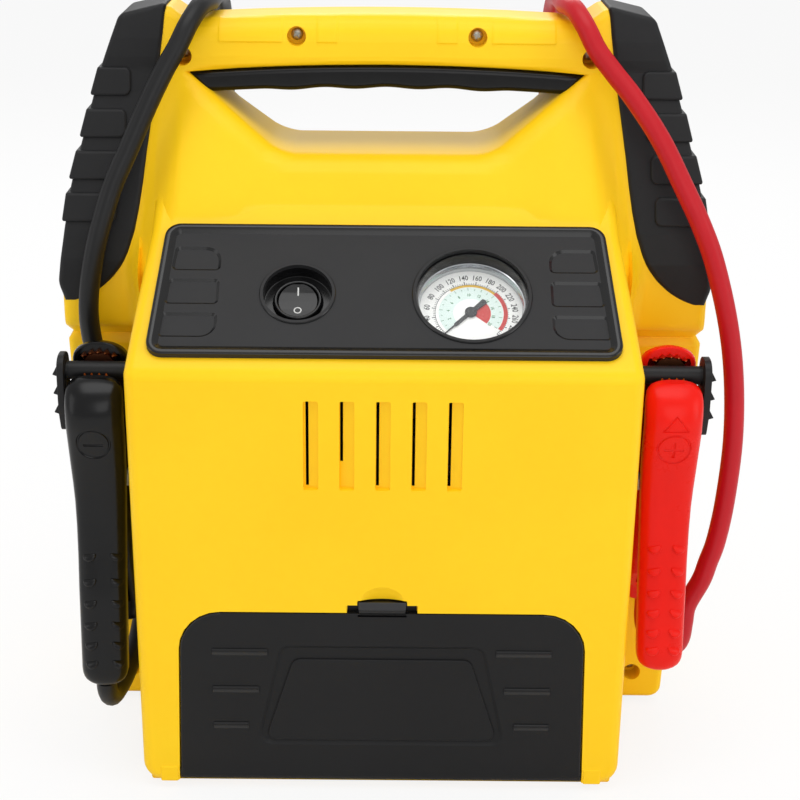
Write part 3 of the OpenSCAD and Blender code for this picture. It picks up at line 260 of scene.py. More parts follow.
def evaluated(obj):  # new mesh of the object as its modifiers or curve settings leave it
    bpy.context.view_layer.update()
    return bpy.data.meshes.new_from_object(obj.evaluated_get(bpy.context.evaluated_depsgraph_get()))


def settle(obj):  # applies every modifier
    mesh = evaluated(obj)
    obj.modifiers.clear()
    old, obj.data = obj.data, mesh
    bpy.data.meshes.remove(old)


def carve(obj, *forms, how="DIFFERENCE"):
    cutters = [newObject(form) if isinstance(form, bmesh.types.BMesh) else form for form in forms]
    for cutter in cutters:
        mod = obj.modifiers.new("carve", "BOOLEAN")
        mod.operation, mod.object, mod.solver = how, cutter, "EXACT"
    settle(obj)
    for cutter in cutters:
        bpy.data.objects.remove(cutter)
    return obj


def eased(obj, width, angle):  # rounds the sharp edges of a finished form
    mod = obj.modifiers.new("ease", "BEVEL")
    mod.width, mod.segments, mod.limit_method, mod.angle_limit = width, 2, "ANGLE", math.radians(angle)
    mod.use_clamp_overlap, mod.harden_normals = True, False
    settle(obj)


def finishPiece(obj, name, looks, node, body="pack", angle=32, replaces=True):
    # stands for its CAD node and hides it; with replaces=False the node is not used
    if isinstance(obj, bmesh.types.BMesh):
        obj = newObject(obj)
    mesh = obj.data
    mesh.transform(Matrix.Scale(mm, 4))
    mesh.materials.clear()
    for look in [looks] if isinstance(looks, str) else looks:
        mesh.materials.append(finish[look])
    mesh.shade_smooth()
    mesh.set_sharp_from_angle(angle=math.radians(angle))
    weighted = obj.modifiers.new("weightedNormal", "WEIGHTED_NORMAL")
    weighted.keep_sharp, weighted.weight = True, 60
    obj.name = name
    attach(obj, body)
    if replaces:
        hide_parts(node)
    return obj


def pointOut(bm):
    bmesh.ops.remove_doubles(bm, verts=bm.verts, dist=0.0005)
    bmesh.ops.recalc_face_normals(bm, faces=bm.faces)


def facet(bm, points):
    return bm.faces.new([bm.verts.new(p) for p in points])


def vertsIn(geom):
    return [v for v in geom if isinstance(v, bmesh.types.BMVert)]


def drawn(points, way):  # flat outline drawn out along a vector
    bm = bmesh.new()
    made = bmesh.ops.extrude_face_region(bm, geom=[facet(bm, points)])["geom"]
    bmesh.ops.translate(bm, verts=vertsIn(made), vec=way)
    return bm


def roundOff(bm, edges, radius, segments=3, clamp=True, kind="OFFSET"):
    bmesh.ops.bevel(bm, geom=edges, offset=radius, offset_type=kind, segments=segments, profile=0.5,
                    affect="EDGES", material=-1, clamp_overlap=clamp)


def cutAt(bm, place, normal, dist=0.001, **more):
    bmesh.ops.bisect_plane(bm, geom=bm.verts[:] + bm.edges[:] + bm.faces[:], dist=dist, plane_co=place,
                           plane_no=normal, **more)


def at(x, y, z):
    return Matrix.Translation((x, y, z))


def turnBy(degrees, axis):
    return Matrix.Rotation(math.radians(degrees), 4, axis)


def move(bm, matrix):
    bmesh.ops.transform(bm, matrix=matrix, verts=bm.verts)
    return bm


def roundedLoop(corners, steps=6):  # counter-clockwise outline from corners (x, z, radius)
    bm = bmesh.new()
    facet(bm, [(x, 0, z) for x, z, r in corners])
    for vert, (x, z, r) in zip(list(bm.verts), corners):
        if r:
            a, b = [e.other_vert(vert).co - vert.co for e in vert.link_edges]
            bmesh.ops.bevel(bm, geom=[vert], offset=r / math.tan(a.angle(b) / 2), offset_type="OFFSET",
                            segments=steps, profile=0.5, affect="VERTICES", material=-1, clamp_overlap=False)
    bm.faces.ensure_lookup_table()
    points = [(v.co.x, v.co.z) for v in bm.faces[0].verts]
    bm.free()
    area = sum(a[0] * b[1] - b[0] * a[1] for a, b in zip(points[-1:] + points, points))
    return points if area > 0 else points[::-1]


def mirrored(half):
    return half + [(-x, z, r) for x, z, r in reversed(half) if x > 0]


def wholeLoop(half, steps=6):  # outline from its right half
    return roundedLoop(mirrored(half), steps)


def offsetLoop(points, distance):  # positive is to the left of the direction, inward for an outline
    made = []
    for i, p in enumerate(points):
        a = (Vector(p) - Vector(points[i - 1])).normalized()
        b = (Vector(points[(i + 1) % len(points)]) - Vector(p)).normalized()
        t = (a + b).normalized()
        side = Vector((-t.y, t.x))
        made.append(tuple(Vector(p) + side * distance / max(0.6, side.dot(Vector((-a.y, a.x))))))
    return made


def closedEdges(bm, verts):
    return [bm.edges.get((verts[i], verts[i - 1])) for i in range(len(verts))]


def growRing(bm, verts, places):  # extrudes a closed chain of vertices to new places
    fresh = set(vertsIn(bmesh.ops.extrude_edge_only(bm, edges=closedEdges(bm, verts))["geom"]))
    chain = [next(e.other_vert(v) for e in v.link_edges if e.other_vert(v) in fresh) for v in verts]
    for v, p in zip(chain, places):
        v.co = p
    return chain


def ringsAlong(bm, outline, offsets):  # rings beside an outline, and the edges of the last one
    chain = [bm.verts.new((x, 0, z)) for x, z in outline]
    for i in range(len(chain)):
        bm.edges.new((chain[i - 1], chain[i]))
    for d in offsets:
        chain = growRing(bm, chain, [(x, 0, z) for x, z in offsetLoop(outline, d)])
    return closedEdges(bm, chain)


def distances(points, loops):  # distance of every point to the nearest outline
    best = np.full(len(points), 1e9)
    for loop in loops:
        a = np.array(loop)
        b = np.roll(a, -1, axis=0)
        for start, end in zip(a, b):
            d = end - start
            t = np.clip(((points - start) @ d) / max(1e-9, d @ d), 0, 1)
            best = np.minimum(best, np.hypot(*(points - start - t[:, None] * d).T))
    return best


def slab(outline, rings, levels=(), columns=(), hole=None, holeRings=()):
    # flat face in x, z with rings along its edges and a grid of cuts; columns start above the shoulder
    bm = bmesh.new()
    edges = ringsAlong(bm, outline, rings)
    if hole:
        edges += ringsAlong(bm, hole, [-d for d in holeRings])
    old = set(bm.faces)
    bmesh.ops.triangle_fill(bm, use_beauty=True, use_dissolve=False, edges=edges)
    inner = [e for e in bm.edges if len(e.link_faces) == 2 and all(f not in old for f in e.link_faces)]
    bmesh.ops.dissolve_limit(bm, angle_limit=0.01, use_dissolve_boundaries=False, verts=[], edges=inner)
    for z in levels:
        cutAt(bm, (0, 0, z), (0, 0, 1), 0.0005)
    for x in columns:
        faces = [f for f in bm.faces if f.calc_center_median().z > shoulderZ]
        geom = list({v for f in faces for v in f.verts}) + list({e for f in faces for e in f.edges}) + faces
        bmesh.ops.bisect_plane(bm, geom=geom, dist=0.0005, plane_co=(x, 0, 0), plane_no=(1, 0, 0))
    return bm


def thicken(bm, loops, front, back):
    # gives a slab its front and back: each is a function of arrays x, z, d that returns y
    far = vertsIn(bmesh.ops.extrude_face_region(bm, geom=bm.faces[:])["geom"])
    known = set(far)
    near = [v for v in bm.verts if v not in known]
    for group, place in ((near, front), (far, back)):
        xz = np.array([(v.co.x, v.co.z) for v in group])
        for v, y in zip(group, place(xz[:, 0], xz[:, 1], distances(xz, loops))):
            v.co.y = y
    pointOut(bm)


def dropBy(d, r):  # how far a rounding of radius r falls back at the distance d from the edge
    inside = np.clip(r - d, 0, None)
    return r - np.sqrt(np.clip(r * r - inside * inside, 0, None))


def smoothStep(x, low, high):
    t = np.clip((x - low) / (high - low), 0, 1)
    return t * t * (3 - 2 * t)


def prism(loop, y0, y1, round=0.0):  # outline in x, z drawn out from y0 to y1, its front edges rounded
    bm = drawn([(x, y0, z) for x, z in loop], (0, y1 - y0, 0))
    pointOut(bm)
    if round:
        roundOff(bm, [e for e in bm.edges if all(abs(v.co.y - y0) < 1e-4 for v in e.verts)], round)
    return bm


def raised(loop, z0, z1):  # outline in x, y drawn up from z0 to z1
    bm = drawn([(x, y, z0) for x, y in loop], (0, 0, z1 - z0))
    pointOut(bm)
    return bm


def block(low, high, round=0.0, segments=3):
    bm = bmesh.new()
    bmesh.ops.create_cube(bm, size=1.0)
    bmesh.ops.scale(bm, verts=bm.verts, vec=[b - a for a, b in zip(low, high)])
    bmesh.ops.translate(bm, verts=bm.verts, vec=[(a + b) / 2 for a, b in zip(low, high)])
    if round:
        roundOff(bm, bm.edges[:], round, segments)
    return bm


def ball(sizes, u, v):
    bm = bmesh.new()
    bmesh.ops.create_uvsphere(bm, u_segments=u, v_segments=v, radius=1)
    bmesh.ops.scale(bm, verts=bm.verts, vec=sizes)
    return bm


def turned(profile, steps=64):  # solid of revolution about z from (radius, height) points
    bm = bmesh.new()
    verts = [bm.verts.new((r, 0, z)) for r, z in profile]
    edges = [bm.edges.new((a, b)) for a, b in zip(verts, verts[1:])]
    bmesh.ops.spin(bm, geom=verts + edges, cent=(0, 0, 0), axis=(0, 0, 1), angle=2 * math.pi, steps=steps,
                   use_merge=True)
    pointOut(bm)
    return bm


def disc(radius, low, high, steps=64):
    return turned([(0, low), (radius, low), (radius, high), (0, high)], steps)


def rod(x0, x1, radius, y, z, sides=32):  # along x
    return move(disc(radius, x0, x1, sides), at(0, y, z) @ turnBy(90, "Y"))


def pegY(x, z, y0, y1, radius, sides=32):  # along y
    return move(disc(radius, -y1, -y0, sides), at(x, 0, z) @ turnBy(90, "X"))


def addTo(bm, other):  # puts another bmesh into this one
    mesh = bpy.data.meshes.new("part")
    other.to_mesh(mesh)
    other.free()
    bm.from_mesh(mesh)
    bpy.data.meshes.remove(mesh)
    return bm


slope = at(0, boxFront, boxKnee) @ turnBy(boxLean, "X")  # lower edge of the sloping front


def onSlope(bm, place=(0, 0), out=0.0):  # drawn with x across, y up the slope and z out of it
    return move(bm, slope @ at(*place, out))


def mirrorX(bm):
    bmesh.ops.scale(bm, vec=(-1, 1, 1), verts=bm.verts)
    bmesh.ops.recalc_face_normals(bm, faces=bm.faces)
    return bm


def curveThrough(name, points, radius, rounds):
    curve = bpy.data.curves.new(name, "CURVE")
    curve.dimensions, curve.bevel_depth, curve.bevel_resolution, curve.use_fill_caps = "3D", radius, rounds, True
    spline = curve.splines.new("POLY")
    spline.points.add(len(points) - 1)
    for point, place in zip(spline.points, points):
        point.co = (*place, 1)
    return curve


# Booster leads, from the strain reliefs on the rear to the clamps.
leadLook = {"diameter": 0.009, "exit": (0.080, 0.095, 0.272)}  # metres
overHandle = [(80, 95, 272), (80, 101, 280), (80, 105, 298), (80, 99, 315), (80, 83, 328), (80, 60, 332),
              (80, 38, 331.8), (80.5, 26, 332.6), (83, 15, 331.6)]
leads = {
    "black_lead": {"finish": "blackCable", "route": [(-x, y, z) for x, y, z in overHandle] + [
        (-87, 6, 325.5), (-91.5, 1, 316.5), (-97, -3, 307), (-104, -8, 293), (-113, -14, 273),
        (-120, -19, 257), (-127, -25, 233), (-131, -26, 210), (-131, -23.5, 191), (-127, -20, 172),
        (-119, -16.5, 152), (-113.5, -15, 130), (-113, -15, 100), (-113.2, -15.5, 72), (-113.6, -17, 59),
        (-115, -22.5, 46.5), (-117.3, -34, 37.2), (-119.6, -48, 33), (-121.4, -60, 32.6), (-122.3, -67.4, 34),
        (-122.8, -72.8, 38), (-123, -75.6, 42.8), (-123, -76.5, 47)]},
    "red_lead": {"finish": "redCable", "route": overHandle + [
        (87, 6.5, 325.5), (91.8, 2, 316.5), (98.5, -2, 308), (107.8, -8, 297), (119, -17, 281),
        (129, -25, 262), (137, -30, 246), (143.8, -32, 229), (151, -34, 203), (155, -36, 178),
        (156.2, -39, 150.3), (154.4, -41, 122), (151.4, -43, 103), (148.3, -44, 92.5), (145.6, -45, 83.9),
        (139.8, -46, 72), (138.6, -46.9, 63.5), (138, -46.6, 56.5), (136.6, -44.9, 51.2), (134, -41.8, 47.4),
        (130.5, -37.6, 46), (126.9, -33.2, 47.4), (124.1, -29.8, 51.8), (123.1, -28.6, 57), (123, -28.5, 62),
        (123, -28.5, 67)]},
}


def smoothRoute(points, steps):
    made = []
    for i in range(len(points) - 1):
        a, b, c, d = [Vector(points[min(max(j, 0), len(points) - 1)]) for j in (i - 1, i, i + 1, i + 2)]
        for j in range(steps):
            t = j / steps
            made.append(b + t * (c - a) / 2 + t * t * (2 * a - 5 * b + 4 * c - d) / 2
                        + t ** 3 * (3 * b - a - 3 * c + d) / 2)
    return made + [Vector(points[-1])]


def makeLead(name, spec):
    path = smoothRoute(spec["route"], 6)
    curve = curveThrough(name, [(p.x * mm, p.y * mm, p.z * mm) for p in path], leadLook["diameter"] / 2, 5)
    curve.materials.append(finish[spec["finish"]])
    lead = linked(name + "_cable", curve)
    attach(lead, "pack")
    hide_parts(name)


for name, spec in leads.items():
    makeLead(name, spec)


# Housings: outlines in x, z, with their depth before and behind the parting plane.
housing = {
    "depths": [(0, 45), (184, 45), (185.4, 44.6), (188.5, 43), (193.6, 50.4), (196, 51.7), (199.5, 52), (225, 52),
               (238, 48.4), (295, 25), (305, 22), (310, 22), (318, 20.9), (326, 18.6), (334, 16)],
    "edge": 3.5, "handleEdge": 8.0, "openingEdge": 7.5,
    "screws": [(40.2, 319.4, 23.0), (91, 310.5, 29.0), (122, 17, 0.0)],  # x, z and the floor of the well
}
frameLoop = roundedLoop(mirrored([(0, 2.6, 0), (137, 2.6, 6), (144.5, 185, 0), (142.5, 188.5, 0),
                                  (144.5, 194, 0), (144.5, 212, 12), (138.5, 256, 60), (126.5, 303, 60),
                                  (117.5, 327, 5), (97, 332, 4), (88, 325.6, 0)]
                                 + [(88 * i / 8, 328.8 - 2.8 * (i / 8) ** 2, 0) for i in range(7, -1, -1)]))
handLoop = roundedLoop([(-47, 270, 22), (47, 270, 22), (88.5, 303.4, 0)]
                       + [(88.5 * i / 8, 307 - 3.6 * (i / 8) ** 2, 0) for i in range(7, -8, -1)]
                       + [(-88.5, 303.4, 0)], steps=10)
# edge of the bumpers' seats, from the handle down to the lower tip
bumperEdge = [(99.2, 320), (102.2, 298.4), (104.4, 283), (106.2, 270), (107.6, 258), (109.2, 247), (111.2, 237),
              (113.7, 229), (117.0, 222.5), (121.2, 216.8), (126.0, 212), (131.4, 208.2), (136.2, 206), (140.2, 205)]


def frameDepth(z):
    return np.interp(z, *zip(*housing["depths"]))


def frontDepth(x, z):  # how far the front face is before the parting plane
    ax = np.abs(x)
    base = frameDepth(z)
    lean = 65.5 - 0.63 * (z - 236)
    saddle = 5.0 * (1 - smoothStep(ax, 48, 82)) * (1 - smoothStep(z, 268, 300))
    seat = np.minimum(np.interp(z, *zip(*[(b, a) for a, b in reversed(bumperEdge)])), 118)
    swell = smoothStep(seat - 1.5 - ax, 0, 17) * smoothStep(z, 202, 238)
    depth = np.maximum(base, base + (lean - saddle - base) * swell)
    pads = (smoothStep(ax, 46.1, 47.1) - smoothStep(ax, 74.3, 75.3)
            + smoothStep(ax, 21.7, 22.7) - smoothStep(ax, 30.7, 31.7))
    return depth + 0.5 * pads * smoothStep(z, 316.5, 317.3)


def edgeRadius(x, z):  # rounding of the outer edge, wider along the handle
    return np.where((np.abs(x) < 90) & (z > 310), housing["handleEdge"], housing["edge"])


def frontFace(x, z, d):
    ax = np.abs(x)
    xz = np.stack([x, z], 1)
    rHand = 3.0 + (housing["openingEdge"] - 3.0) * (1 - smoothStep(z, 296, 303))
    fillet = dropBy(np.clip(ax - 108, 0.4, None), 8.0) * smoothStep(z, 194, 198) * (1 - smoothStep(z, 225, 238))
    return (midY - frontDepth(x, z) + dropBy(distances(xz, [frameLoop]), edgeRadius(x, z))
            + dropBy(distances(xz, [handLoop]), rHand) - np.where(ax > 108, fillet, 0))


def rearFace(x, z, d):
    xz = np.stack([x, z], 1)
    rHand = 3.0 + 17.0 * (1 - smoothStep(z, 286, 302))
    return (midY + frameDepth(z) - dropBy(distances(xz, [frameLoop]), edgeRadius(x, z))
            - dropBy(distances(xz, [handLoop]), rHand))


def seamFace(x, z, d):
    return np.full(len(x), midY)


lowLevels = [60, 120, 165, 183.8, 185.4, 187, 188.5, 190.2, 192, 193.6, 194.8, 196, 197.6, 199.5]
topLevels = [321, 323, 325, 326.4, 327.6]
frontColumns = sorted(set(range(-144, 145, 6)) | {s * x for s in (-1, 1) for x in [
    21.7, 22.2, 22.7, 30.7, 31.2, 31.7, 46.1, 46.6, 47.1, 74.3, 74.8, 75.3, 93, 99, 105, 110, 112, 116,
    *range(97, 143, 2)]})


def makeHousing(face, levels, columns, holeRings):
    bm = slab(frameLoop, [0.3, 0.9, 1.9, 3.5], lowLevels + levels + topLevels, columns, handLoop, holeRings)
    thicken(bm, [frameLoop, handLoop], face, seamFace)
    return newObject(bm)


def boxForm():  # compressor housing: drafted sides, rounded along its edges
    side = [(boxFront, 2.6), (10, 2.6), (10, 269.3), (boxFront, boxKnee)]
    bm = drawn([(-110, y, z) for y, z in side], (220, 0, 0))
    for z in (boxKnee, 218, 240, 255):
        cutAt(bm, (0, 0, z), (0, 0, 1))
    for v in bm.verts:
        v.co.x = math.copysign(np.interp(v.co.z, [2.6, boxKnee, 240, 270], [106.4, 108, 102.2, 101.6]), v.co.x)
    pointOut(bm)
    low = [e for e in bm.edges
           if all(v.co.z < 3 for v in e.verts) and abs(e.verts[0].co.x - e.verts[1].co.x) < 0.1]
    roundOff(bm, low, 9, 6, False)
    rim = [e for e in bm.edges if e.calc_face_angle(0) > 0.3 and not all(v.co.y > 9.9 for v in e.verts)]
    roundOff(bm, rim, 7.0, 6, kind="WIDTH")
    pointOut(bm)
    return bm


doorHalf = [(0, 7.2, 0), (89.5, 7.2, 0), (87.7, 87.7, 18), (0, 87.7, 0)]
doorLoop = wholeLoop(doorHalf)
latchRecess = wholeLoop([(0, 84.7, 0), (15.3, 84.7, 0), (15.3, 91.8, 0.4), (10.8, 91.8, 0), (10.8, 94.0, 0.4),
                         (0, 94.0, 0)])
hollowLow = wholeLoop([(0, 5.2, 0), (134, 5.2, 4), (141.3, 176, 2), (0, 176, 0)])
vents = {"pitch": 15.1, "shift": -0.3, "half": 3.1, "low": 144.9, "high": 185.3, "cut": 1.25}
onFront = {"gauge": (37, 41), "switch": (-37, 41)}  # places on the slope


def boxLoop(x0, z0, x1, z1, r, steps=6):
    return roundedLoop([(x0, z0, r), (x1, z0, r), (x1, z1, r), (x0, z1, r)], steps)


def onSide(bm, side):
    return mirrorX(bm) if side < 0 else bm


def ventCutters(k):  # a sunk channel whose floor falls to the left, where it is open
    x = vents["pitch"] * k + vents["shift"]
    half = vents["half"]
    channel = prism(boxLoop(x - half, vents["low"], x + half, vents["high"], 0.8), -91.5, -88.1)
    for v in channel.verts:
        if v.co.y > -90:
            v.co.y += 0.18 * (x + half - v.co.x)
            v.co.z += 1.2 if v.co.z < 150 else 0
    left = x - 3.0 + (0.9 if k == -2 else 0.2)
    right = left + vents["cut"]
    low = 158 if k == -1 else 147
    return [channel, prism([(left, low), (right, low), (right, 185.2), (left, 185.2)], -91.5, -85.0)]


def buildFront():
    body = makeHousing(frontFace, list(range(203, 320, 4)) + [316.5, 316.9, 317.3], frontColumns,
                       [0.3, 1.0, 2.2, 4.0, 6.0, 8.2])
    carve(body, boxForm(), how="UNION")
    # room inside the housing and the frame
    room = prism([(-103.6, 5.2), (103.6, 5.2), (105.0, 190), (99.0, 238), (-99.0, 238), (-105.0, 190)], -86.9, 34)
    cutAt(room, (0, -87.97, 194.9), Vector((0, -0.588, 0.809)), clear_outer=True)
    bmesh.ops.holes_fill(room, edges=room.edges, sides=0)
    pointOut(room)
    neck = wholeLoop([(0, 170, 0), (137, 170, 2), (137, 197, 2), (0, 197, 0)])
    upper = wholeLoop([(0, 193, 0), (136, 193, 3), (134, 222, 3), (106, 250, 4), (0, 254, 0)])
    carve(body, room, prism(hollowLow, -7.4, 36), prism(neck, -2, 36), prism(upper, 0, 36))
    # wall behind the door, feet, hinge bosses and screw bosses
    feet, bosses = bmesh.new(), bmesh.new()
    for side in (-1, 1):
        foot = block((41, -84.5, 0), (104, -39.5, 4.6))
        for v in foot.verts:
            if v.co.y < -80:
                v.co.y = -82.5 if v.co.z < 1 else -79
        addTo(feet, onSide(foot, side))
        addTo(bosses, onSide(block((90.5, -90.0, 3.6), (98.5, -83.5, 11.2), 0.8), side))
        addTo(bosses, pegY(side * 122, 17, -7.8, 35.9, 6.6))
    roundOff(feet, [e for e in feet.edges if e.calc_face_angle(0) > 0.2], 1.2, 3, False)
    carve(body, prism(offsetLoop(doorLoop, -3.1), -89.3, -83.7), feet, bosses,
          block((-14, -87.2, 87), (14, -84.0, 107)), how="UNION")
    # openings: door, its hinge, latch, hose bay, scoop over the latch, gauge, switch, vents and screws
    openings = [prism(offsetLoop(doorLoop, -0.5), -95, -85.7), block((-90, -95, 3.4), (90, -81.9, 11.0)),
                prism(latchRecess, -95, -85.7), block((-75, -95, 16), (75, -60, 78)),
                move(ball((14.2, 8.5, 11.5), 32, 16), at(0, -95.6, 92.6)),
                onSlope(disc(26.1, -40, 12), onFront["gauge"]), onSlope(disc(16.7, -40, 12), onFront["switch"])]
    for k in range(-2, 3):
        openings += ventCutters(k)
    for side in (-1, 1):
        for x, z, y in housing["screws"]:
            openings += [pegY(side * x, z, -30 if z > 100 else -20, y, 4.25), pegY(side * x, z, y - 1, 36, 1.9)]
    carve(body, *openings)
    finishPiece(body, "front_housing", "yellow", "front_shell", angle=28)


def buildRear():
    body = makeHousing(rearFace, list(range(203, 320, 6)), list(range(-144, 145, 16)),
                       [0.4, 1.3, 2.8, 4.8, 7.4, 10.6, 14.5, 19.0])
    upper = wholeLoop([(0, 170, 0), (136, 170, 3), (134, 220, 3), (104, 240, 4), (0, 242, 0)])
    cuts = [prism(hollowLow, 34, 77.4), prism(upper, 34, 70)]
    for side in (-1, 1):
        cuts.append(pegY(side * 110, 138, 36, 90, 12.6))  # socket
        cuts += [pegY(side * x, z, 34, 49, 1.8) for x, z, y in housing["screws"]]
    # charge port, test button, charge lights, lamp switch and work light
    cuts += [pegY(56, 122, 60, 90, 7.3), pegY(56, 152, 60, 90, 6.0), block((-34, 70, 144), (34, 90, 160)),
             block((-67, 70, 144), (-45, 90, 160)), block((-33, 70, 198), (33, 90, 224))]
    carve(body, *cuts)
    finishPiece(body, "rear_housing", "yellow", "rear_shell", angle=28)


def makeScrews():
    heads, across, upright, shanks = [bmesh.new() for i in range(4)]
    for side in (-1, 1):
        for x, z, y in housing["screws"]:
            place = at(side * x, y, z) @ turnBy(90, "X") @ turnBy(17 * side + z, "Z")
            addTo(heads, move(turned([(0, -0.2), (1.7, -0.2), (2.65, 0), (2.65, 0.7), (2.3, 1.25), (1.5, 1.6),
                                      (0, 1.7)], 32), place))
            for bm, w, h in ((across, 1.7, 0.36), (upright, 0.36, 1.7)):
                addTo(bm, move(block((-w, -h, 0.75), (w, h, 2.4)), place))
            addTo(shanks, pegY(side * x, z, y - 0.1, 46, 1.6, 20))
    body = newObject(heads)
    carve(body, across, upright)
    carve(body, shanks, how="UNION")
    finishPiece(body, "housing_screws", "zinc", "shell_screws")


buildFront()
print("front housing done")
buildRear()
print("rear housing done")
makeScrews()

# Bumpers: rubber over the upper corners, standing proud of the frame, with raised pads.
bumper = {"proud": 1.5, "rings": [0.25, 0.7, 1.4, 2.4], "padProud": 3.0, "padRings": [0.25, 0.7, 1.3],
          "pads": 4, "top": 305.8, "pitch": 17.4, "padHeight": 12.0, "inner": 113.5, "lean": 1.9}
depthBreaks = [225, 238, 295, 305, 310, 318]


def outerX(z):
    return np.interp(z, [194, 212, 256, 303, 327], [144.5, 144.5, 138.5, 126.5, 117.5])


def rubberSlab(loop, rings, levels, proud):
    def stand(z):  # thins out towards the lower tip
        return proud * (0.3 + 0.7 * smoothStep(z, 205, 224))

    def front(x, z, d):
        return midY - frameDepth(z) - stand(z) + dropBy(d, rings[-1])

    def back(x, z, d):
        return midY + frameDepth(z) + stand(z) - dropBy(d, rings[-1])
    bm = slab(loop, rings, sorted(levels + depthBreaks))
    thicken(bm, [loop], front, back)
    return bm


def makeBumper(side):
    loop = roundedLoop([(97.9, 333.4, 1.2)] + [(x, z, 24 if z < 250 else 0) for x, z in bumperEdge]
                       + [(143.4, 205.8, 2), (146, 214, 9), (140, 256.4, 61), (128, 303.5, 61), (118.8, 328.4, 5)])
    sheet = rubberSlab(loop, bumper["rings"], [206.6 + 4 * k for k in range(32)], bumper["proud"])
    body = newObject(onSide(sheet, side))
    pads = []
    for k in range(bumper["pads"]):
        top = bumper["top"] - bumper["pitch"] * k
        low = top - bumper["padHeight"]
        inner = bumper["inner"] + bumper["lean"] * k
        pad = roundedLoop([(inner, low, 3), (outerX(low) + 3, low, 1), (outerX(top) + 3, top, 1), (inner, top, 3)])
        pads.append(onSide(rubberSlab(pad, bumper["padRings"], [low + 3.1, low + 6.1, low + 9.1],
                                      bumper["padProud"]), side))
    carve(body, *pads, how="UNION")
    name = "right_bumper" if side > 0 else "left_bumper"
    finishPiece(body, name + "_rubber", "rubber", name, angle=35)


def makeGrip():  # soft grip with finger bumps under the handle
    top = [(88.3 * i / 12, 306.9 - 3.6 * (i / 12) ** 2, 0) for i in range(12, -13, -1)]
    low = []
    for i in range(-46, 47):
        x = 81.5 * i / 46
        bump = 0.9 * (1 - math.cos(x * 2 * math.pi / 28)) / 2 if abs(x) < 56 else 0
        low.append((x, 297 - 3.2 * (x / 88.5) ** 2 - bump, 0))
    loop = roundedLoop(low + top)
    bm = slab(loop, [0.3, 0.9, 1.8, 3.0], columns=range(-84, 85, 7))
    thicken(bm, [loop], lambda x, z, d: 13.6 + dropBy(d, 3.0), lambda x, z, d: 56.4 - dropBy(d, 3.0))
    finishPiece(bm, "handle_rubber", "clampBlack", "handle_grip")


for side in (-1, 1):
    makeBumper(side)
makeGrip()
print("bumpers and grip done")

# Control panel with its raised rim and sunk pads.
panel = {"corners": [(0, 8, 0), (99.5, 8, 7), (95, 78, 7), (0, 78, 0)],
         "rim": [(0.01, 2.0), (0.15, 0.5), (0.45, 0.35), (0.9, 0.15), (0.6, 0.0), (0.4, -0.1), (1.2, -0.7),
                 (1.3, -0.8)],
         "pads": [(65.5, 53.2, 90.2, 1.2, 6.0), (48.1, 35.2, 92.2, 1.2, 1.2), (30.1, 18.0, 94.0, 6.0, 1.2)]}


def glossEdges(obj, out, beyond=0.0):  # faces turned away from the flat one take the second finish
    for face in obj.data.polygons:
        if 0.12 < face.normal.dot(out) < 0.985 and abs(face.center.x) > beyond:
            face.material_index = 1


def flare(bm, loop, wide, axis, level, near):  # moves the points of one level from one outline to another
    for v in bm.verts:
        if abs(v.co[axis] - level) < near:
            flat = (v.co.x, v.co[3 - axis])
            k = min(range(len(loop)), key=lambda i: (loop[i][0] - flat[0]) ** 2 + (loop[i][1] - flat[1]) ** 2)
            v.co.x, v.co[3 - axis] = wide[k]
    return bm


def terrace(bm, face, steps):  # each step insets the face and lifts it
    for inset, lift in steps:
        bmesh.ops.inset_region(bm, faces=[face], thickness=inset, depth=0, use_even_offset=True)
        bmesh.ops.translate(bm, verts=face.verts[:], vec=(0, 0, lift))


def makePanel():
    bm = bmesh.new()
    base = facet(bm, [(x, y, 0) for x, y in wholeLoop(panel["corners"], 8)])
    made = bmesh.ops.extrude_face_region(bm, geom=[base])["geom"]
    terrace(bm, next(f for f in made if isinstance(f, bmesh.types.BMFace)), panel["rim"])
    pointOut(bm)
    body = newObject(onSlope(bm))
    pockets = []
    for side in (-1, 1):
        for high, low, outer, lowRound, highRound in panel["pads"]:
            pad = roundedLoop([(71.5, low + 0.9, lowRound), (outer, low + 0.9, 1.2), (outer - 1, high - 0.9, 1.2),
                               (71.5, high - 0.9, highRound)])
            pocket = flare(raised(pad, 0.6, 1.6), pad, offsetLoop(pad, -1.5), 2, 1.6, 0.01)
            pockets.append(onSlope(onSide(pocket, side)))
    carve(body, *pockets)
    rings = [(onFront["gauge"], 24.0), (onFront["switch"], 14.7)]
    carve(body, *[onSlope(turned([(r - 1, 1.2), (r + 1.5, 1.2), (r + 1.5, 1.9), (r + 1.2, 2.2), (r - 1, 2.2)]), place)
                  for place, r in rings], how="UNION")
    carve(body, *[onSlope(disc(r, -3, 9), place) for place, r in rings])
    finishPiece(body, "panel_plate", ["panel", "panelEdge"], "control_panel", angle=30)
    glossEdges(body, slope.to_3x3() @ Vector((0, 0, 1)))
    for face in body.data.polygons:  # crest of the rim
        if (slope.inverted() @ (face.center * 1000)).z > 2.3:
            face.material_index = 1


makePanel()
print("control panel done")

# Pressure gauge. Angles are counted from the dial's right side, values in pounds per square inch.
gauge = {"face": -11.6, "first": 225.0, "perUnit": 0.9, "perInner": 14.5, "ink": 0.04}


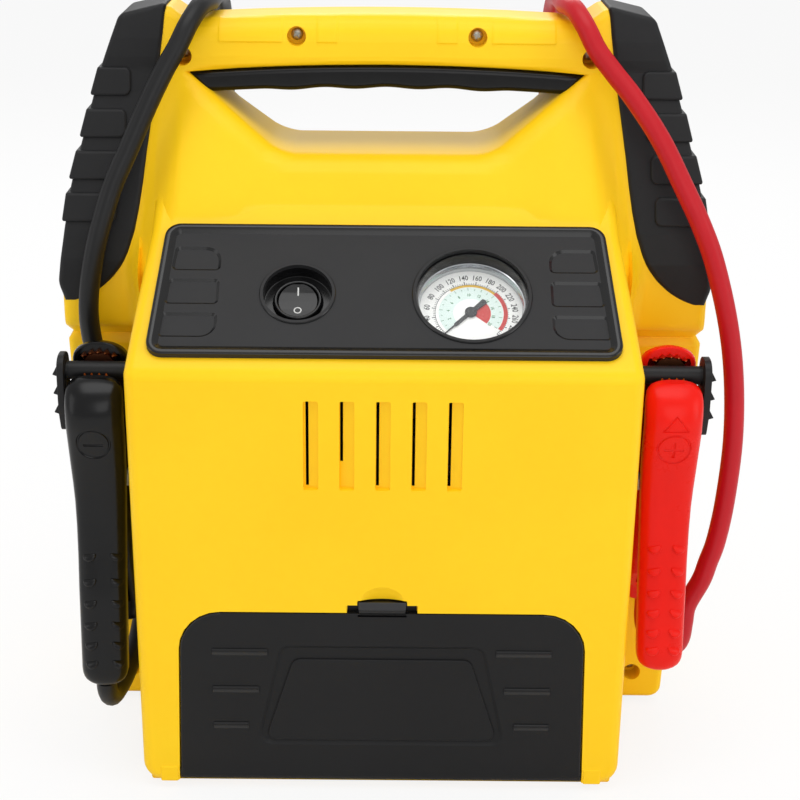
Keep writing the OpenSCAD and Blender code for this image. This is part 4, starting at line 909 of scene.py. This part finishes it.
def inkSector(bm, r0, r1, fromAngle, toAngle, z):  # flat arc band on the dial
    part = bmesh.new()
    start, sweep = math.radians(fromAngle), math.radians(toAngle - fromAngle)
    verts = [part.verts.new((r * math.cos(start), r * math.sin(start), z)) for r in (r0, r1)]
    edge = part.edges.new(verts)
    bmesh.ops.spin(part, geom=verts + [edge], cent=(0, 0, 0), axis=(0, 0, 1), angle=sweep,
                   steps=max(2, int(abs(toAngle - fromAngle) / 4)))
    bmesh.ops.remove_doubles(part, verts=part.verts, dist=0.0005)
    part.normal_update()
    bmesh.ops.reverse_faces(part, faces=[f for f in part.faces if f.normal.z < 0])
    addTo(bm, part)


def inkBar(bm, r0, r1, angle, width, z):  # radial tick
    part = bmesh.new()
    bmesh.ops.create_grid(part, x_segments=1, y_segments=1, size=0.5)
    bmesh.ops.scale(part, vec=(r1 - r0, width, 1), verts=part.verts)
    addTo(bm, move(part, turnBy(angle, "Z") @ at((r0 + r1) / 2, 0, z)))


def inkText(bm, text, size, radius, angle, z):
    curve = bpy.data.curves.new("figure", "FONT")
    curve.body, curve.size, curve.align_x, curve.align_y = text, size, "CENTER", "CENTER"
    curve.resolution_u, curve.offset = 2, 0.05
    figure = linked("figure", curve)
    mesh = evaluated(figure)
    bpy.data.objects.remove(figure)
    where = math.radians(angle)
    mesh.transform(at(radius * math.cos(where), radius * math.sin(where), z)
                   @ Matrix.Rotation(where - math.pi / 2, 4, "Z") @ Matrix.Diagonal((0.78, 1, 1, 1)))
    bm.from_mesh(mesh)
    bpy.data.meshes.remove(mesh)


def makeDial(place, face):
    def angleOf(value):
        return gauge["first"] - gauge["perUnit"] * value

    def innerAngle(value):
        return angleOf(value * gauge["perInner"])
    black, green, pale, yellow, red = [bmesh.new() for i in range(5)]
    z = face + gauge["ink"]  # the printing lies a hair above the card
    for value in range(0, 301, 4):
        major = value % 20 == 0
        inkBar(black, 15.3, 17.0 if major else 16.3, angleOf(value), 0.4 if major else 0.24, z)
    inkSector(black, 15.25, 15.45, angleOf(0), angleOf(300), z)
    for value in range(20, 301, 20):
        inkText(black, str(value), 3.7, 19.0, angleOf(value), z)
    for value in range(0, 21):
        inkBar(green, 12.2, 13.6 if value % 2 == 0 else 13.0, innerAngle(value), 0.22, z + 0.03)
    for value in range(2, 21, 2):
        inkText(green, str(value), 2.1, 9.7, innerAngle(value), z + 0.03)
    inkSector(pale, 7.6, 13.9, angleOf(0), angleOf(290), z)
    inkSector(yellow, 14.1, 15.3, angleOf(110), angleOf(200), z)
    inkSector(red, 14.1, 15.9, angleOf(200), angleOf(290), z + 0.02)
    inkSector(red, 2.2, 8.6, 50, -40, z + 0.02)
    for bm, ink, name in ((black, "ink", "dial_figures"), (green, "greenInk", "dial_inner_figures"),
                          (pale, "mintInk", "dial_pale_zone"), (yellow, "yellowInk", "dial_mid_zone"),
                          (red, "redInk", "dial_high_zone")):
        finishPiece(onSlope(bm, place), name, ink, "gauge_dial", replaces=False)
    # the card's finish glows a little: painted light, not a lamp
    card = turned([(0, -12.6), (22.9, -12.6), (22.9, -11.7), (22.8, face), (0, face)], 96)
    finishPiece(onSlope(card, place), "gauge_card", "dialWhite", "gauge_dial")


def makeGauge():
    place, face = onFront["gauge"], gauge["face"]
    cup = turned([(0, -26), (25.2, -26), (26, -25.2), (26, -0.06), (23.97, -0.06), (23.97, -9.64), (23, -9.66),
                  (23, -12.6), (0, -12.6)], 96)
    addTo(cup, turned([(23.9, -8.36), (22.1, -8.3), (21.9, -8.0), (22.2, -7.3), (22.6, -6.5), (23.9, -6.0),
                       (23.9, -8.36)], 96))
    finishPiece(onSlope(cup, place), "gauge_cup", "chrome", "gauge_case")
    liner = turned([(23.94, -0.06), (23.94, -5.9), (23.0, -5.9), (22.95, -0.5), (23.2, -0.06), (23.94, -0.06)], 96)
    finishPiece(onSlope(liner, place), "gauge_liner", "blackGloss", "switch_body", replaces=False)
    makeDial(place, face)
    # needle: counterweight, shaft and a fine point, then its hub and pin
    outline = [(-8.6, -1.35), (-2, -0.95), (9.5, -0.8), (10.2, -0.3), (19, -0.14), (19, 0.14), (10.2, 0.3),
               (9.5, 0.8), (-2, 0.95), (-8.6, 1.35), (-9.1, 0)]
    needle = raised(outline, 0, 0.5)
    move(needle, turnBy(gauge["first"], "Z"))
    addTo(needle, turned([(0, 0), (2.6, 0), (2.6, 0.8), (2.2, 1.1), (0.9, 1.25), (0, 1.25)], 40))
    addTo(needle, disc(0.9, -1.2, 0.2, 16))
    finishPiece(onSlope(needle, place, face + 0.4), "gauge_pointer", "ink", "gauge_needle", "needle")
    lens = turned([(0, -9.6), (23.9, -9.6), (23.9, -8.5), (23.7, -8.4), (0, -8.4)], 96)
    finishPiece(onSlope(lens, place), "gauge_window", "window", "gauge_lens")


makeGauge()
print("gauge done")


# Round compressor switch.
def makeSwitch():
    place = onFront["switch"]
    bezel = turned([(0, -23.4), (10.4, -23.4), (10.4, -7.8), (16.4, -7.8), (16.4, -0.06), (14.75, -0.06),
                    (14.6, -5.6), (14.2, -5.8), (11.0, -5.8), (10.6, -5.6), (10.4, -5.2), (10.35, -3.2),
                    (10.1, -2.8), (9.7, -2.6), (9.3, -2.6), (8.95, -2.8), (8.75, -3.3), (8.7, -11.8), (0, -11.8)], 96)
    finishPiece(onSlope(bezel, place), "switch_bezel", "blackGloss", "switch_body")
    bm = drawn([(-9, y, z) for y, z in ((-7.9, -2), (7.9, -2), (7.9, 3.4), (4, 2.72), (0, 2.5), (-4, 2.72),
                                        (-7.9, 3.4))], (18, 0, 0))
    pointOut(bm)
    rocker = newObject(bm)
    carve(rocker, disc(8.2, -2.5, 6, 72), how="INTERSECT")
    eased(rocker, 0.35, 35)
    tilt = slope @ at(*place, -6.4) @ turnBy(7, "X")
    rocker.data.transform(tilt)
    finishPiece(rocker, "rocker_cap", "blackGloss", "switch_rocker", "switch")
    marks = bmesh.new()
    ring = turned([(1.2, 0), (1.7, 0), (1.7, 0.12), (1.2, 0.12), (1.2, 0)], 32)
    for form, y, angle in ((block((-0.3, -1.9, 0), (0.3, 1.9, 0.12)), 4.6, 8), (ring, -4.6, -8)):
        addTo(marks, move(form, at(0, y, 2.8) @ turnBy(angle, "X")))
    finishPiece(move(marks, tilt), "rocker_marks", "markWhite", "switch_rocker", "switch", replaces=False)


makeSwitch()
print("switch done")

# Hose door with its ribs and plate, and the latch above it.
door = {"hinge": (-86.1, 7.2), "field": [(53.5, 24.3), (43.5, 70.6)], "plate": [(51.6, 25), (38.8, 65.3)],
        "ribs": [(49.9, 60.6, 70.4), (53.9, 42.7, 52), (58.7, 24.5, 34)]}


def trapezoid(pair, r):
    (x0, z0), (x1, z1) = pair
    return roundedLoop([(-x0, z0, r), (x0, z0, r), (x1, z1, r), (-x1, z1, r)], 3)


def makeDoor():
    body = newObject(prism(wholeLoop(doorHalf, 10), boxFront, -86.5, 0.7))
    field = trapezoid(door["field"], 4.0)
    wide = offsetLoop(field, -1.6)
    carve(body, flare(prism(wide, -89.6, -88.5), wide, field, 1, -88.5, 0.01),
          block((-10.6, -91, 80.1), (10.6, -80, 99)), block((-11.9, -88.7, 80.1), (11.9, -87.1, 99)))
    # plate, backing and skin of the latch's notch, hinge barrel and pin; the backing is a thin dark sheet that paints
    # the shade behind the notch
    added = [prism(trapezoid(door["plate"], 4.0), boxFront, -88.2, 0.7), block((-11, -86.75, 79), (11, -86.5, 88)),
             block((-10.8, boxFront, 79.5), (10.8, -89.28, 86.2)), rod(-89.5, 89.5, 3.4, *door["hinge"], 40),
             rod(-94.5, 94.5, 1.5, *door["hinge"], 24)]
    for side in (-1, 1):
        for inner, low, high in door["ribs"]:
            rib = drawn([(inner, y, z) for y, z in (
                (-89.45, low), (-89.6, high - 3.2), (-90.0, high - 2.4), (-90.4, high - 1.3), (-90.3, high - 0.5),
                (-89.9, high), (-88.2, high), (-88.2, low))], (74 - inner, 0, 0))
            pointOut(rib)
            added.append(onSide(rib, side))
    carve(body, *added, how="UNION")
    finishPiece(body, "hose_bay_door", ["door", "panelEdge"], "hose_door", "door", angle=30)
    glossEdges(body, Vector((0, -1, 0)), 0.054)


def makeLatch():
    body = newObject(block((-10.3, -87.9, 82.1), (10.3, -86.8, 90.5), 0.35, 2))
    carve(body, block((-11.6, -88.4, 82.1), (11.6, -87.4, 87.1), 0.2, 1),
          prism(boxLoop(-10.3, 89.5, 10.3, 93.3, 0.5, 3), -90.0, -86.9, 0.5), how="UNION")
    finishPiece(body, "latch_slide", ["blackGloss", "latchTabHighlight"], "door_latch", "latch")
    for face in body.data.polygons:  # front of the tab in a lighter grey: painted highlight
        if face.center.y < -0.0896:
            face.material_index = 1
    # thin black sheet over the floor of the latch's recess: painted shade
    recess = prism(offsetLoop(latchRecess, 0.3), -85.95, -85.72)
    finishPiece(recess, "latch_recess_painted_shade", "blackPlastic", "door_latch", replaces=False)


makeDoor()
makeLatch()
print("door and latch done")

# Booster clamps, drawn round their pivot. Each level of a grip: height, half width, front, back, roundness.
frontLevels = [(50.2, 3.6, -13.2, -8.6, 2.3), (49.95, 5.8, -14.0, -8.5, 2.3), (49.5, 7.8, -15.0, -8.4, 2.3),
               (48.7, 9.6, -16.4, -8.4, 2.3), (47.6, 10.8, -18.0, -8.4, 2.3), (46.0, 11.6, -19.8, -8.4, 2.3),
               (43.6, 12.0, -21.6, -8.4, 2.35), (40.8, 12.1, -23.1, -8.4, 2.4),
               (37.5, 12.1, -24.2, -8.4, 2.4), (34, 12, -24.4, -8.4, 2.5), (31, 12, -23.9, -8.0, 2.7),
               (28, 11.95, -22.9, -7.6, 2.9), (24, 11.9, -21.6, -6.8, 3.0), (18, 11.8, -19.9, -5.4, 3.1),
               (10, 11.6, -18.0, -4.4, 3.1), (2, 11.3, -16.5, -3.8, 3.0), (-7, 11.0, -15.6, -3.3, 2.9),
               (-18, 10.7, -16.3, -4.2, 2.8), (-32, 10.5, -18.3, -6.0, 2.7), (-46, 10.4, -21.2, -8.4, 2.6)]
rearLevels = [(60.4, 1.6, 4.8, 7.8, 2.2), (60.2, 3.0, 4.6, 8.4, 2.2), (59.8, 4.7, 4.5, 9.2, 2.2),
              (59.2, 6.4, 4.4, 10.1, 2.3), (58.3, 8.1, 4.4, 11.0, 2.3), (57.0, 9.8, 4.4, 12.1, 2.3),
              (55.2, 11.2, 4.4, 13.3, 2.4), (53.0, 11.9, 4.4, 14.5, 2.4), (49.0, 12.1, 4.4, 16.2, 2.5),
              (42, 12.1, 4.4, 18.0, 2.6), (36, 12, 4.4, 19.2, 2.7), (30, 12, 4.4, 19.8, 2.9),
              (22, 11.9, 4.4, 19.4, 3.2), (14, 11.7, 4.0, 17.6, 3.4), (4, 11.3, 3.4, 15.2, 3.5),
              (-6, 11.0, 3.1, 14.8, 3.3), (-18, 10.7, 4.4, 16.6, 3.1), (-32, 10.5, 7.6, 20.4, 3.0),
              (-50, 10.4, 12.2, 26.6, 2.9)]


def lowerLevels(end, front, back, upper):
    # levels from the last upper one down to the rounded end
    z0, w0, f0, b0 = upper[-1][:4]
    made = []
    for k in range(1, 7):
        t = k / 6
        z = z0 + (end + 8 - z0) * t
        made.append((z, w0 + (10.1 - w0) * t, f0 + (front - f0) * t, b0 + (back - b0) * t, 2.6 - 0.3 * t))
    for up, w, f, b in ((5.6, 9.95, 0.2, 0.1), (3.8, 9.5, 0.6, 0.3), (2.4, 8.7, 1.1, 0.7), (1.3, 7.5, 1.8, 1.2),
                        (0.5, 5.9, 2.6, 1.8), (0.0, 3.8, 3.5, 2.6)):
        made.append((end + up, w, front + f, back - b, 2.2))
    return made


def sectionPoint(angle, level):  # a negative roundness rounds the back instead of the front
    z, w, front, back, roundness = level
    c, s = math.cos(angle), math.sin(angle)
    outer = s < 0 if roundness > 0 else s > 0
    e = abs(roundness) if outer else 6.0
    x = w * math.copysign(abs(c) ** (2 / e), c)
    y = (front + back) / 2 + (back - front) / 2 * math.copysign(abs(s) ** (2 / e), s)
    return x, y, z


def loft(levels, sides=48):
    bm = bmesh.new()
    ring = bmesh.ops.create_circle(bm, cap_ends=False, segments=sides, radius=1)["verts"]
    first = sorted(ring, key=lambda v: math.atan2(v.co.y, v.co.x) % (2 * math.pi))
    angles = [2 * math.pi * i / sides for i in range(sides)]
    for v, a in zip(first, angles):
        v.co = sectionPoint(a, levels[0])
    chain = first
    for level in levels[1:]:
        chain = growRing(bm, chain, [sectionPoint(a, level) for a in angles])
    for loop in (first, chain):
        bmesh.ops.contextual_create(bm, geom=closedEdges(bm, loop))
    pointOut(bm)
    return bm


clampLook = {"pivot": (123.0, -58, 138), "marks": 23.4, "triangle": (32.2, 38.8), "circle": 6.9, "line": (0.62, 0.42),
             "ends": {"black": (-91, -84), "red": (-81, -71)},
             "bumpRows": {"black": [107.3, 96.2, 86.5, 76.6, 67.4, 58.8],
                          "red": [113.2, 103.1, 93.4, 84.7, 75.9, 68]}}
clampMoves = {("black", "rear"): "black_clamp", ("red", "front"): "red_clamp"}  # the other halves stay
clampHalves = [(colour, part) for colour in ("black", "red") for part in ("front", "rear")]


def atPivot(colour):
    x, y, z = clampLook["pivot"]
    return at(-x if colour == "black" else x, y, z)


def strokes(colour):  # lines engraved on the front, as lists of (x, z)
    z = clampLook["marks"]
    r = clampLook["circle"]
    lines = [[(r * math.cos(a), z + r * math.sin(a)) for a in [2 * math.pi * i / 40 for i in range(40)]],
             [(-r * 0.62 + r * 1.24 * i / 6, z - 0.6) for i in range(7)]]
    if colour == "red":
        lines.append([(0, z - 0.6 - r * 0.55 + r * 1.1 * i / 6) for i in range(7)])
    low, high = clampLook["triangle"]
    points = [(-5.3, low), (5.3, low), (0, high), (-5.3, low)]
    if colour == "red":
        lines.append([(a[0] + (b[0] - a[0]) * i / 6, a[1] + (b[1] - a[1]) * i / 6)
                      for a, b in zip(points, points[1:]) for i in range(6)])
    return lines


def tubeAlong(points, radius, ring=False):  # round bar through points
    curve = curveThrough("stroke", points, radius, 2)
    curve.splines[0].use_cyclic_u = ring
    stroke = linked("stroke", curve)
    mesh = evaluated(stroke)
    bpy.data.objects.remove(stroke)
    bm = bmesh.new()
    bm.from_mesh(mesh)
    bpy.data.meshes.remove(mesh)
    pointOut(bm)
    return bm


def engrave(body, surface, colour):  # thin lines for the triangle, wider ones for the rest
    for k, line in enumerate(strokes(colour)):
        hits = [surface.ray_cast(Vector((x, -60, z)), Vector((0, 1, 0)))[0] for x, z in line]
        places = [(x, hit.y - 0.02, z) for (x, z), hit in zip(line, hits)]
        carve(body, tubeAlong(places, clampLook["line"][k == 3], len(line) > 7))


def fingerBumps(surface, colour, part, end):  # lens-shaped scales in two rows
    bumps = bmesh.new()
    start, way = (-60, 1) if part == "front" else (90, -1)
    for k, row in enumerate(clampLook["bumpRows"][colour]):
        z = row - clampLook["pivot"][2]
        for s in (-1, 1):
            x = s * (5.2 - 0.1 * k) + 0.6 if colour == "red" else s * 5.8 + 1.1
            hit, normal = surface.ray_cast(Vector((x, start, z)), Vector((0, way, 0)))[:2]
            if z < end + 5 or hit is None:
                continue
            scale = ball((3.0, 1.35, 1.9), 20, 12)
            for v in scale.verts:  # smile-shaped, fading into the grip at the top
                v.co.y += 0.34 * way * v.co.z
                v.co.z += 0.1 * v.co.x * v.co.x - 0.35
            facing = Vector((0, -way, 0)).rotation_difference(normal if normal.y * way < 0 else -normal)
            addTo(bumps, move(scale, Matrix.Translation(hit) @ facing.to_matrix().to_4x4() @ turnBy(12 * s, "Y")))
    bmesh.ops.recalc_face_normals(bumps, faces=bumps.faces)
    return bumps


def makeClampGrip(colour, part):
    if part == "front":
        end, shift, top, wall = clampLook["ends"][colour][0], 2.2, 47.5, 1.9
        levels = frontLevels + lowerLevels(end, -26.4, -12.6, frontLevels)
    else:
        end, shift, top, wall = clampLook["ends"][colour][1], -2.2, 57.0, 2.5
        levels = [(z, w, f, b, -e) for z, w, f, b, e in rearLevels + lowerLevels(end, 23.4, 36.6, rearLevels)]
    body = newObject(loft(levels))
    surface = BVHTree.FromPolygons([v.co for v in body.data.vertices], [p.vertices for p in body.data.polygons])
    # channel towards the other half, and room for the pivot
    upper = [(z, w - wall, f + shift, b + shift, e) for z, w, f, b, e in levels if -16 < z < top]
    lower = [(z, w - 4.0, f + shift, b + shift, e) for z, w, f, b, e in levels if end + 12 < z < -8]
    carve(body, loft(upper), loft(lower), rod(-30, 30, 4.7, 0, 0))
    if part == "front":
        engrave(body, surface, colour)
    carve(body, fingerBumps(surface, colour, part, end), how="UNION")
    body.data.transform(atPivot(colour))
    finishPiece(body, f"{colour}_{part}_handle", "red" if colour == "red" else "clampBlack", f"{colour}_{part}_grip",
                clampMoves.get((colour, part), "pack"), angle=40)


def makeTeeth(colour, part):  # extra teeth at the tips of the jaws
    tips = ([(x, z, -7.4) for x, z in ((-4.6, 48.6), (-1.6, 48.8), (1.6, 48.8), (4.6, 48.6))] if part == "front"
            else [(x, z, 2.4) for x, z in ((-6.4, 55.0), (-3.2, 56.2), (0, 56.6), (3.2, 56.2), (6.4, 55.0))])
    teeth = bmesh.new()
    for x, z, y in tips:
        tooth = bmesh.new()
        bmesh.ops.create_cone(tooth, cap_ends=True, segments=4, radius1=1.7, radius2=0.25, depth=3.6)
        if part == "rear":
            move(tooth, turnBy(75, "X"))
        addTo(teeth, move(tooth, at(x, y, z)))
    finishPiece(move(teeth, atPivot(colour)), f"{colour}_{part}_teeth", "copper", f"{colour}_{part}_jaw",
                clampMoves.get((colour, part), "pack"), replaces=False)


def makeSpring(colour, half=5.75, r=5.2, turns=4.5, perTurn=24):
    steps = int(turns * perTurn)
    points = [(-half, r, -9), (-half, r, -5)]
    for i in range(steps + 1):
        a = 2 * math.pi * i / perTurn
        points.append((-half + 2 * half * i / steps, r * math.cos(a), r * math.sin(a)))
    coil = tubeAlong(points + [(half, -r, -5), (half, -r, -9)], 0.8)
    finishPiece(move(coil, atPivot(colour)), f"{colour}_clamp_coil", "zinc", f"{colour}_clamp_spring")


for colour, part in clampHalves:
    makeClampGrip(colour, part)
for colour, part in clampHalves:
    makeTeeth(colour, part)
for colour in ("black", "red"):
    makeSpring(colour)
print("clamps done")


# Strain reliefs where the leads leave the rear.
def makeGland(name, side):
    profile = [(0, -36), (9.4, -36), (10, -35.4), (10, -22), (9.5, -21.2), (8.3, -21), (8.15, -20.4)]
    for k in range(5):
        z = -19.2 + 3.5 * k
        r = 8.0 - 0.42 * k
        profile += [(r, z), (r - 0.1, z + 1.7), (r - 1.0, z + 2.0), (r - 1.1, z + 3.2)]
    profile += [(5.9, -1.4), (5.6, -0.4), (5.2, 0), (4.6, 0.1), (4.5, -6), (0, -6)]
    x, y, z = overHandle[0]
    boot = move(turned(profile, 48), at(side * x, y, z) @ turnBy(-40, "X"))
    finishPiece(boot, name + "_boot", "rubber", name)


makeGland("left_gland", -1)
makeGland("right_gland", 1)
print("strain reliefs done")

# Plainer nodes: their own form with eased edges, by the width of the easing in millimetres.
bySlot = {"yellow_plastic": "yellow", "rubber": "rubber", "panel_plastic": "panel", "door_plastic": "door",
          "black_plastic": "blackPlastic", "black_gloss": "blackGloss", "red_plastic": "red",
          "black_cable": "blackCable", "red_cable": "redCable", "copper": "copper", "brass": "brass", "zinc": "zinc",
          "cast_alloy": "castAlloy", "dial_white": "dialWhite", "clear": "clear", "battery_case": "battery",
          "board_green": "board", "led_green": "led"}
bodyOf = {n: b for b, names in frame["record"]["behaviour"]["bodies"].items() for n in names}
edgeWidths = {"left_clamp_post": 0.5, "right_clamp_post": 0.5, "rear_panel": 0.6, "left_socket": 0.4,
              "right_socket": 0.4, "left_socket_cap": 0.4, "right_socket_cap": 0.4, "charge_port": 0.3,
              "charge_cap": 0.4, "test_button": 0.4, "lamp_rocker": 0.4, "rubber_feet": 0.5,
              "hose_bay": 0.4, "battery": 1.5, "compressor_pump": 0.5, "compressor_mount": 0.4,
              "compressor_motor": 0.8, "cooling_fan": 0.3, "air_outlet": 0.2, "lamp_lens": 0.3,
              "black_front_jaw": 0.15, "black_rear_jaw": 0.15, "red_front_jaw": 0.15, "red_rear_jaw": 0.15,
              "black_clamp_pin": 0.4, "red_clamp_pin": 0.4}


def plainLook(name):
    return bySlot.get(slots.get(name), "blackPlastic")


def softened(name, width):
    obj = linked(name + "_eased", nodes[name].data.copy())
    bm = bmesh.new()
    bm.from_mesh(obj.data)
    bmesh.ops.scale(bm, vec=(1000, 1000, 1000), verts=bm.verts)
    bmesh.ops.remove_doubles(bm, verts=bm.verts, dist=0.002)
    bmesh.ops.dissolve_limit(bm, angle_limit=math.radians(1.2), use_dissolve_boundaries=False, verts=bm.verts,
                             edges=bm.edges)
    bmesh.ops.recalc_face_normals(bm, faces=bm.faces)
    bm.to_mesh(obj.data)
    bm.free()
    eased(obj, width, 40)
    # jaws take the darker copper copy, which paints the shade inside the clamps
    look = "red" if name == "test_button" else "jawCopper" if name.endswith("jaw") else plainLook(name)
    finishPiece(obj, name + "_eased", look, name, bodyOf[name], angle=30)


for name, width in edgeWidths.items():
    softened(name, width)
for name, obj in nodes.items():  # nodes that keep their shape
    obj.data.materials.clear()
    obj.data.materials.append(finish[plainLook(name)])
print("plainer nodes eased and finished")

# Floor, light and background. Lamps: place, aim, width and height, power.
studio = {"world": 0.66, "lamps": {
    "topLight": ((0.0, -0.25, 1.5), (0, 0, 0.15), (1.2, 0.9), 7.5),
    "frontLight": ((0.25, -1.6, 0.9), (0, 0, 0.15), (1.0, 0.8), 3.6),
    "leftLight": ((-1.3, -0.7, 0.6), (0, 0, 0.15), (0.5, 1.0), 1.8),
    "rightLight": ((1.3, -0.7, 0.6), (0, 0, 0.15), (0.5, 1.0), 3.2),
    "backLight": ((0.0, 1.2, 1.0), (0, 0.05, 0.26), (0.9, 0.5), 5.0)}}


def makeFloor():
    bm = bmesh.new()
    bmesh.ops.create_grid(bm, x_segments=4, y_segments=4, size=6)
    floor = newObject(bm, "floor")
    material, tree, shader = newMaterial("floorWhite")
    setInputs(shader, {"Base Color": (0.9, 0.9, 0.9, 1), "Roughness": 0.8})
    glow = addNode(tree, "Emission", {"Strength": 1.0})
    path = addNode(tree, "LightPath")
    share = addNode(tree, "Math", {1: 0.84}, operation="MULTIPLY")
    mix = addNode(tree, "MixShader")
    wire(tree, (path, "Is Camera Ray", share, 0), (share, 0, mix, "Fac"), (shader, 0, mix, 1), (glow, 0, mix, 2),
         (mix, 0, tree.nodes["Material Output"], "Surface"))
    floor.data.materials.append(material)


def makeWorld():  # white where the camera sees it, weaker as a light
    world = bpy.data.worlds.new("studio")
    bpy.context.scene.world = world
    world.use_nodes = True
    tree = world.node_tree
    back = tree.nodes["Background"]
    path = addNode(tree, "LightPath")
    seen = addNode(tree, "Math", operation="MAXIMUM")
    power = addNode(tree, "MapRange", {"To Min": studio["world"], "To Max": 1.0})
    wire(tree, (path, "Is Camera Ray", seen, 0), (path, "Is Transmission Ray", seen, 1), (seen, 0, power, "Value"),
         (power, "Result", back, "Strength"))
    setInputs(back, {"Color": (1, 1, 1, 1)})


def makeLamp(name, place, aim, size, power):
    data = bpy.data.lights.new(name, "AREA")
    data.shape, data.size, data.size_y, data.energy = "RECTANGLE", size[0], size[1], power
    lamp = linked(name, data)
    lamp.location = place
    lamp.rotation_euler = (Vector(aim) - Vector(place)).to_track_quat("-Z", "Y").to_euler()


makeFloor()
makeWorld()
for name, spec in studio["lamps"].items():
    makeLamp(name, *spec)
bpy.context.scene.view_settings.view_transform = "Standard"
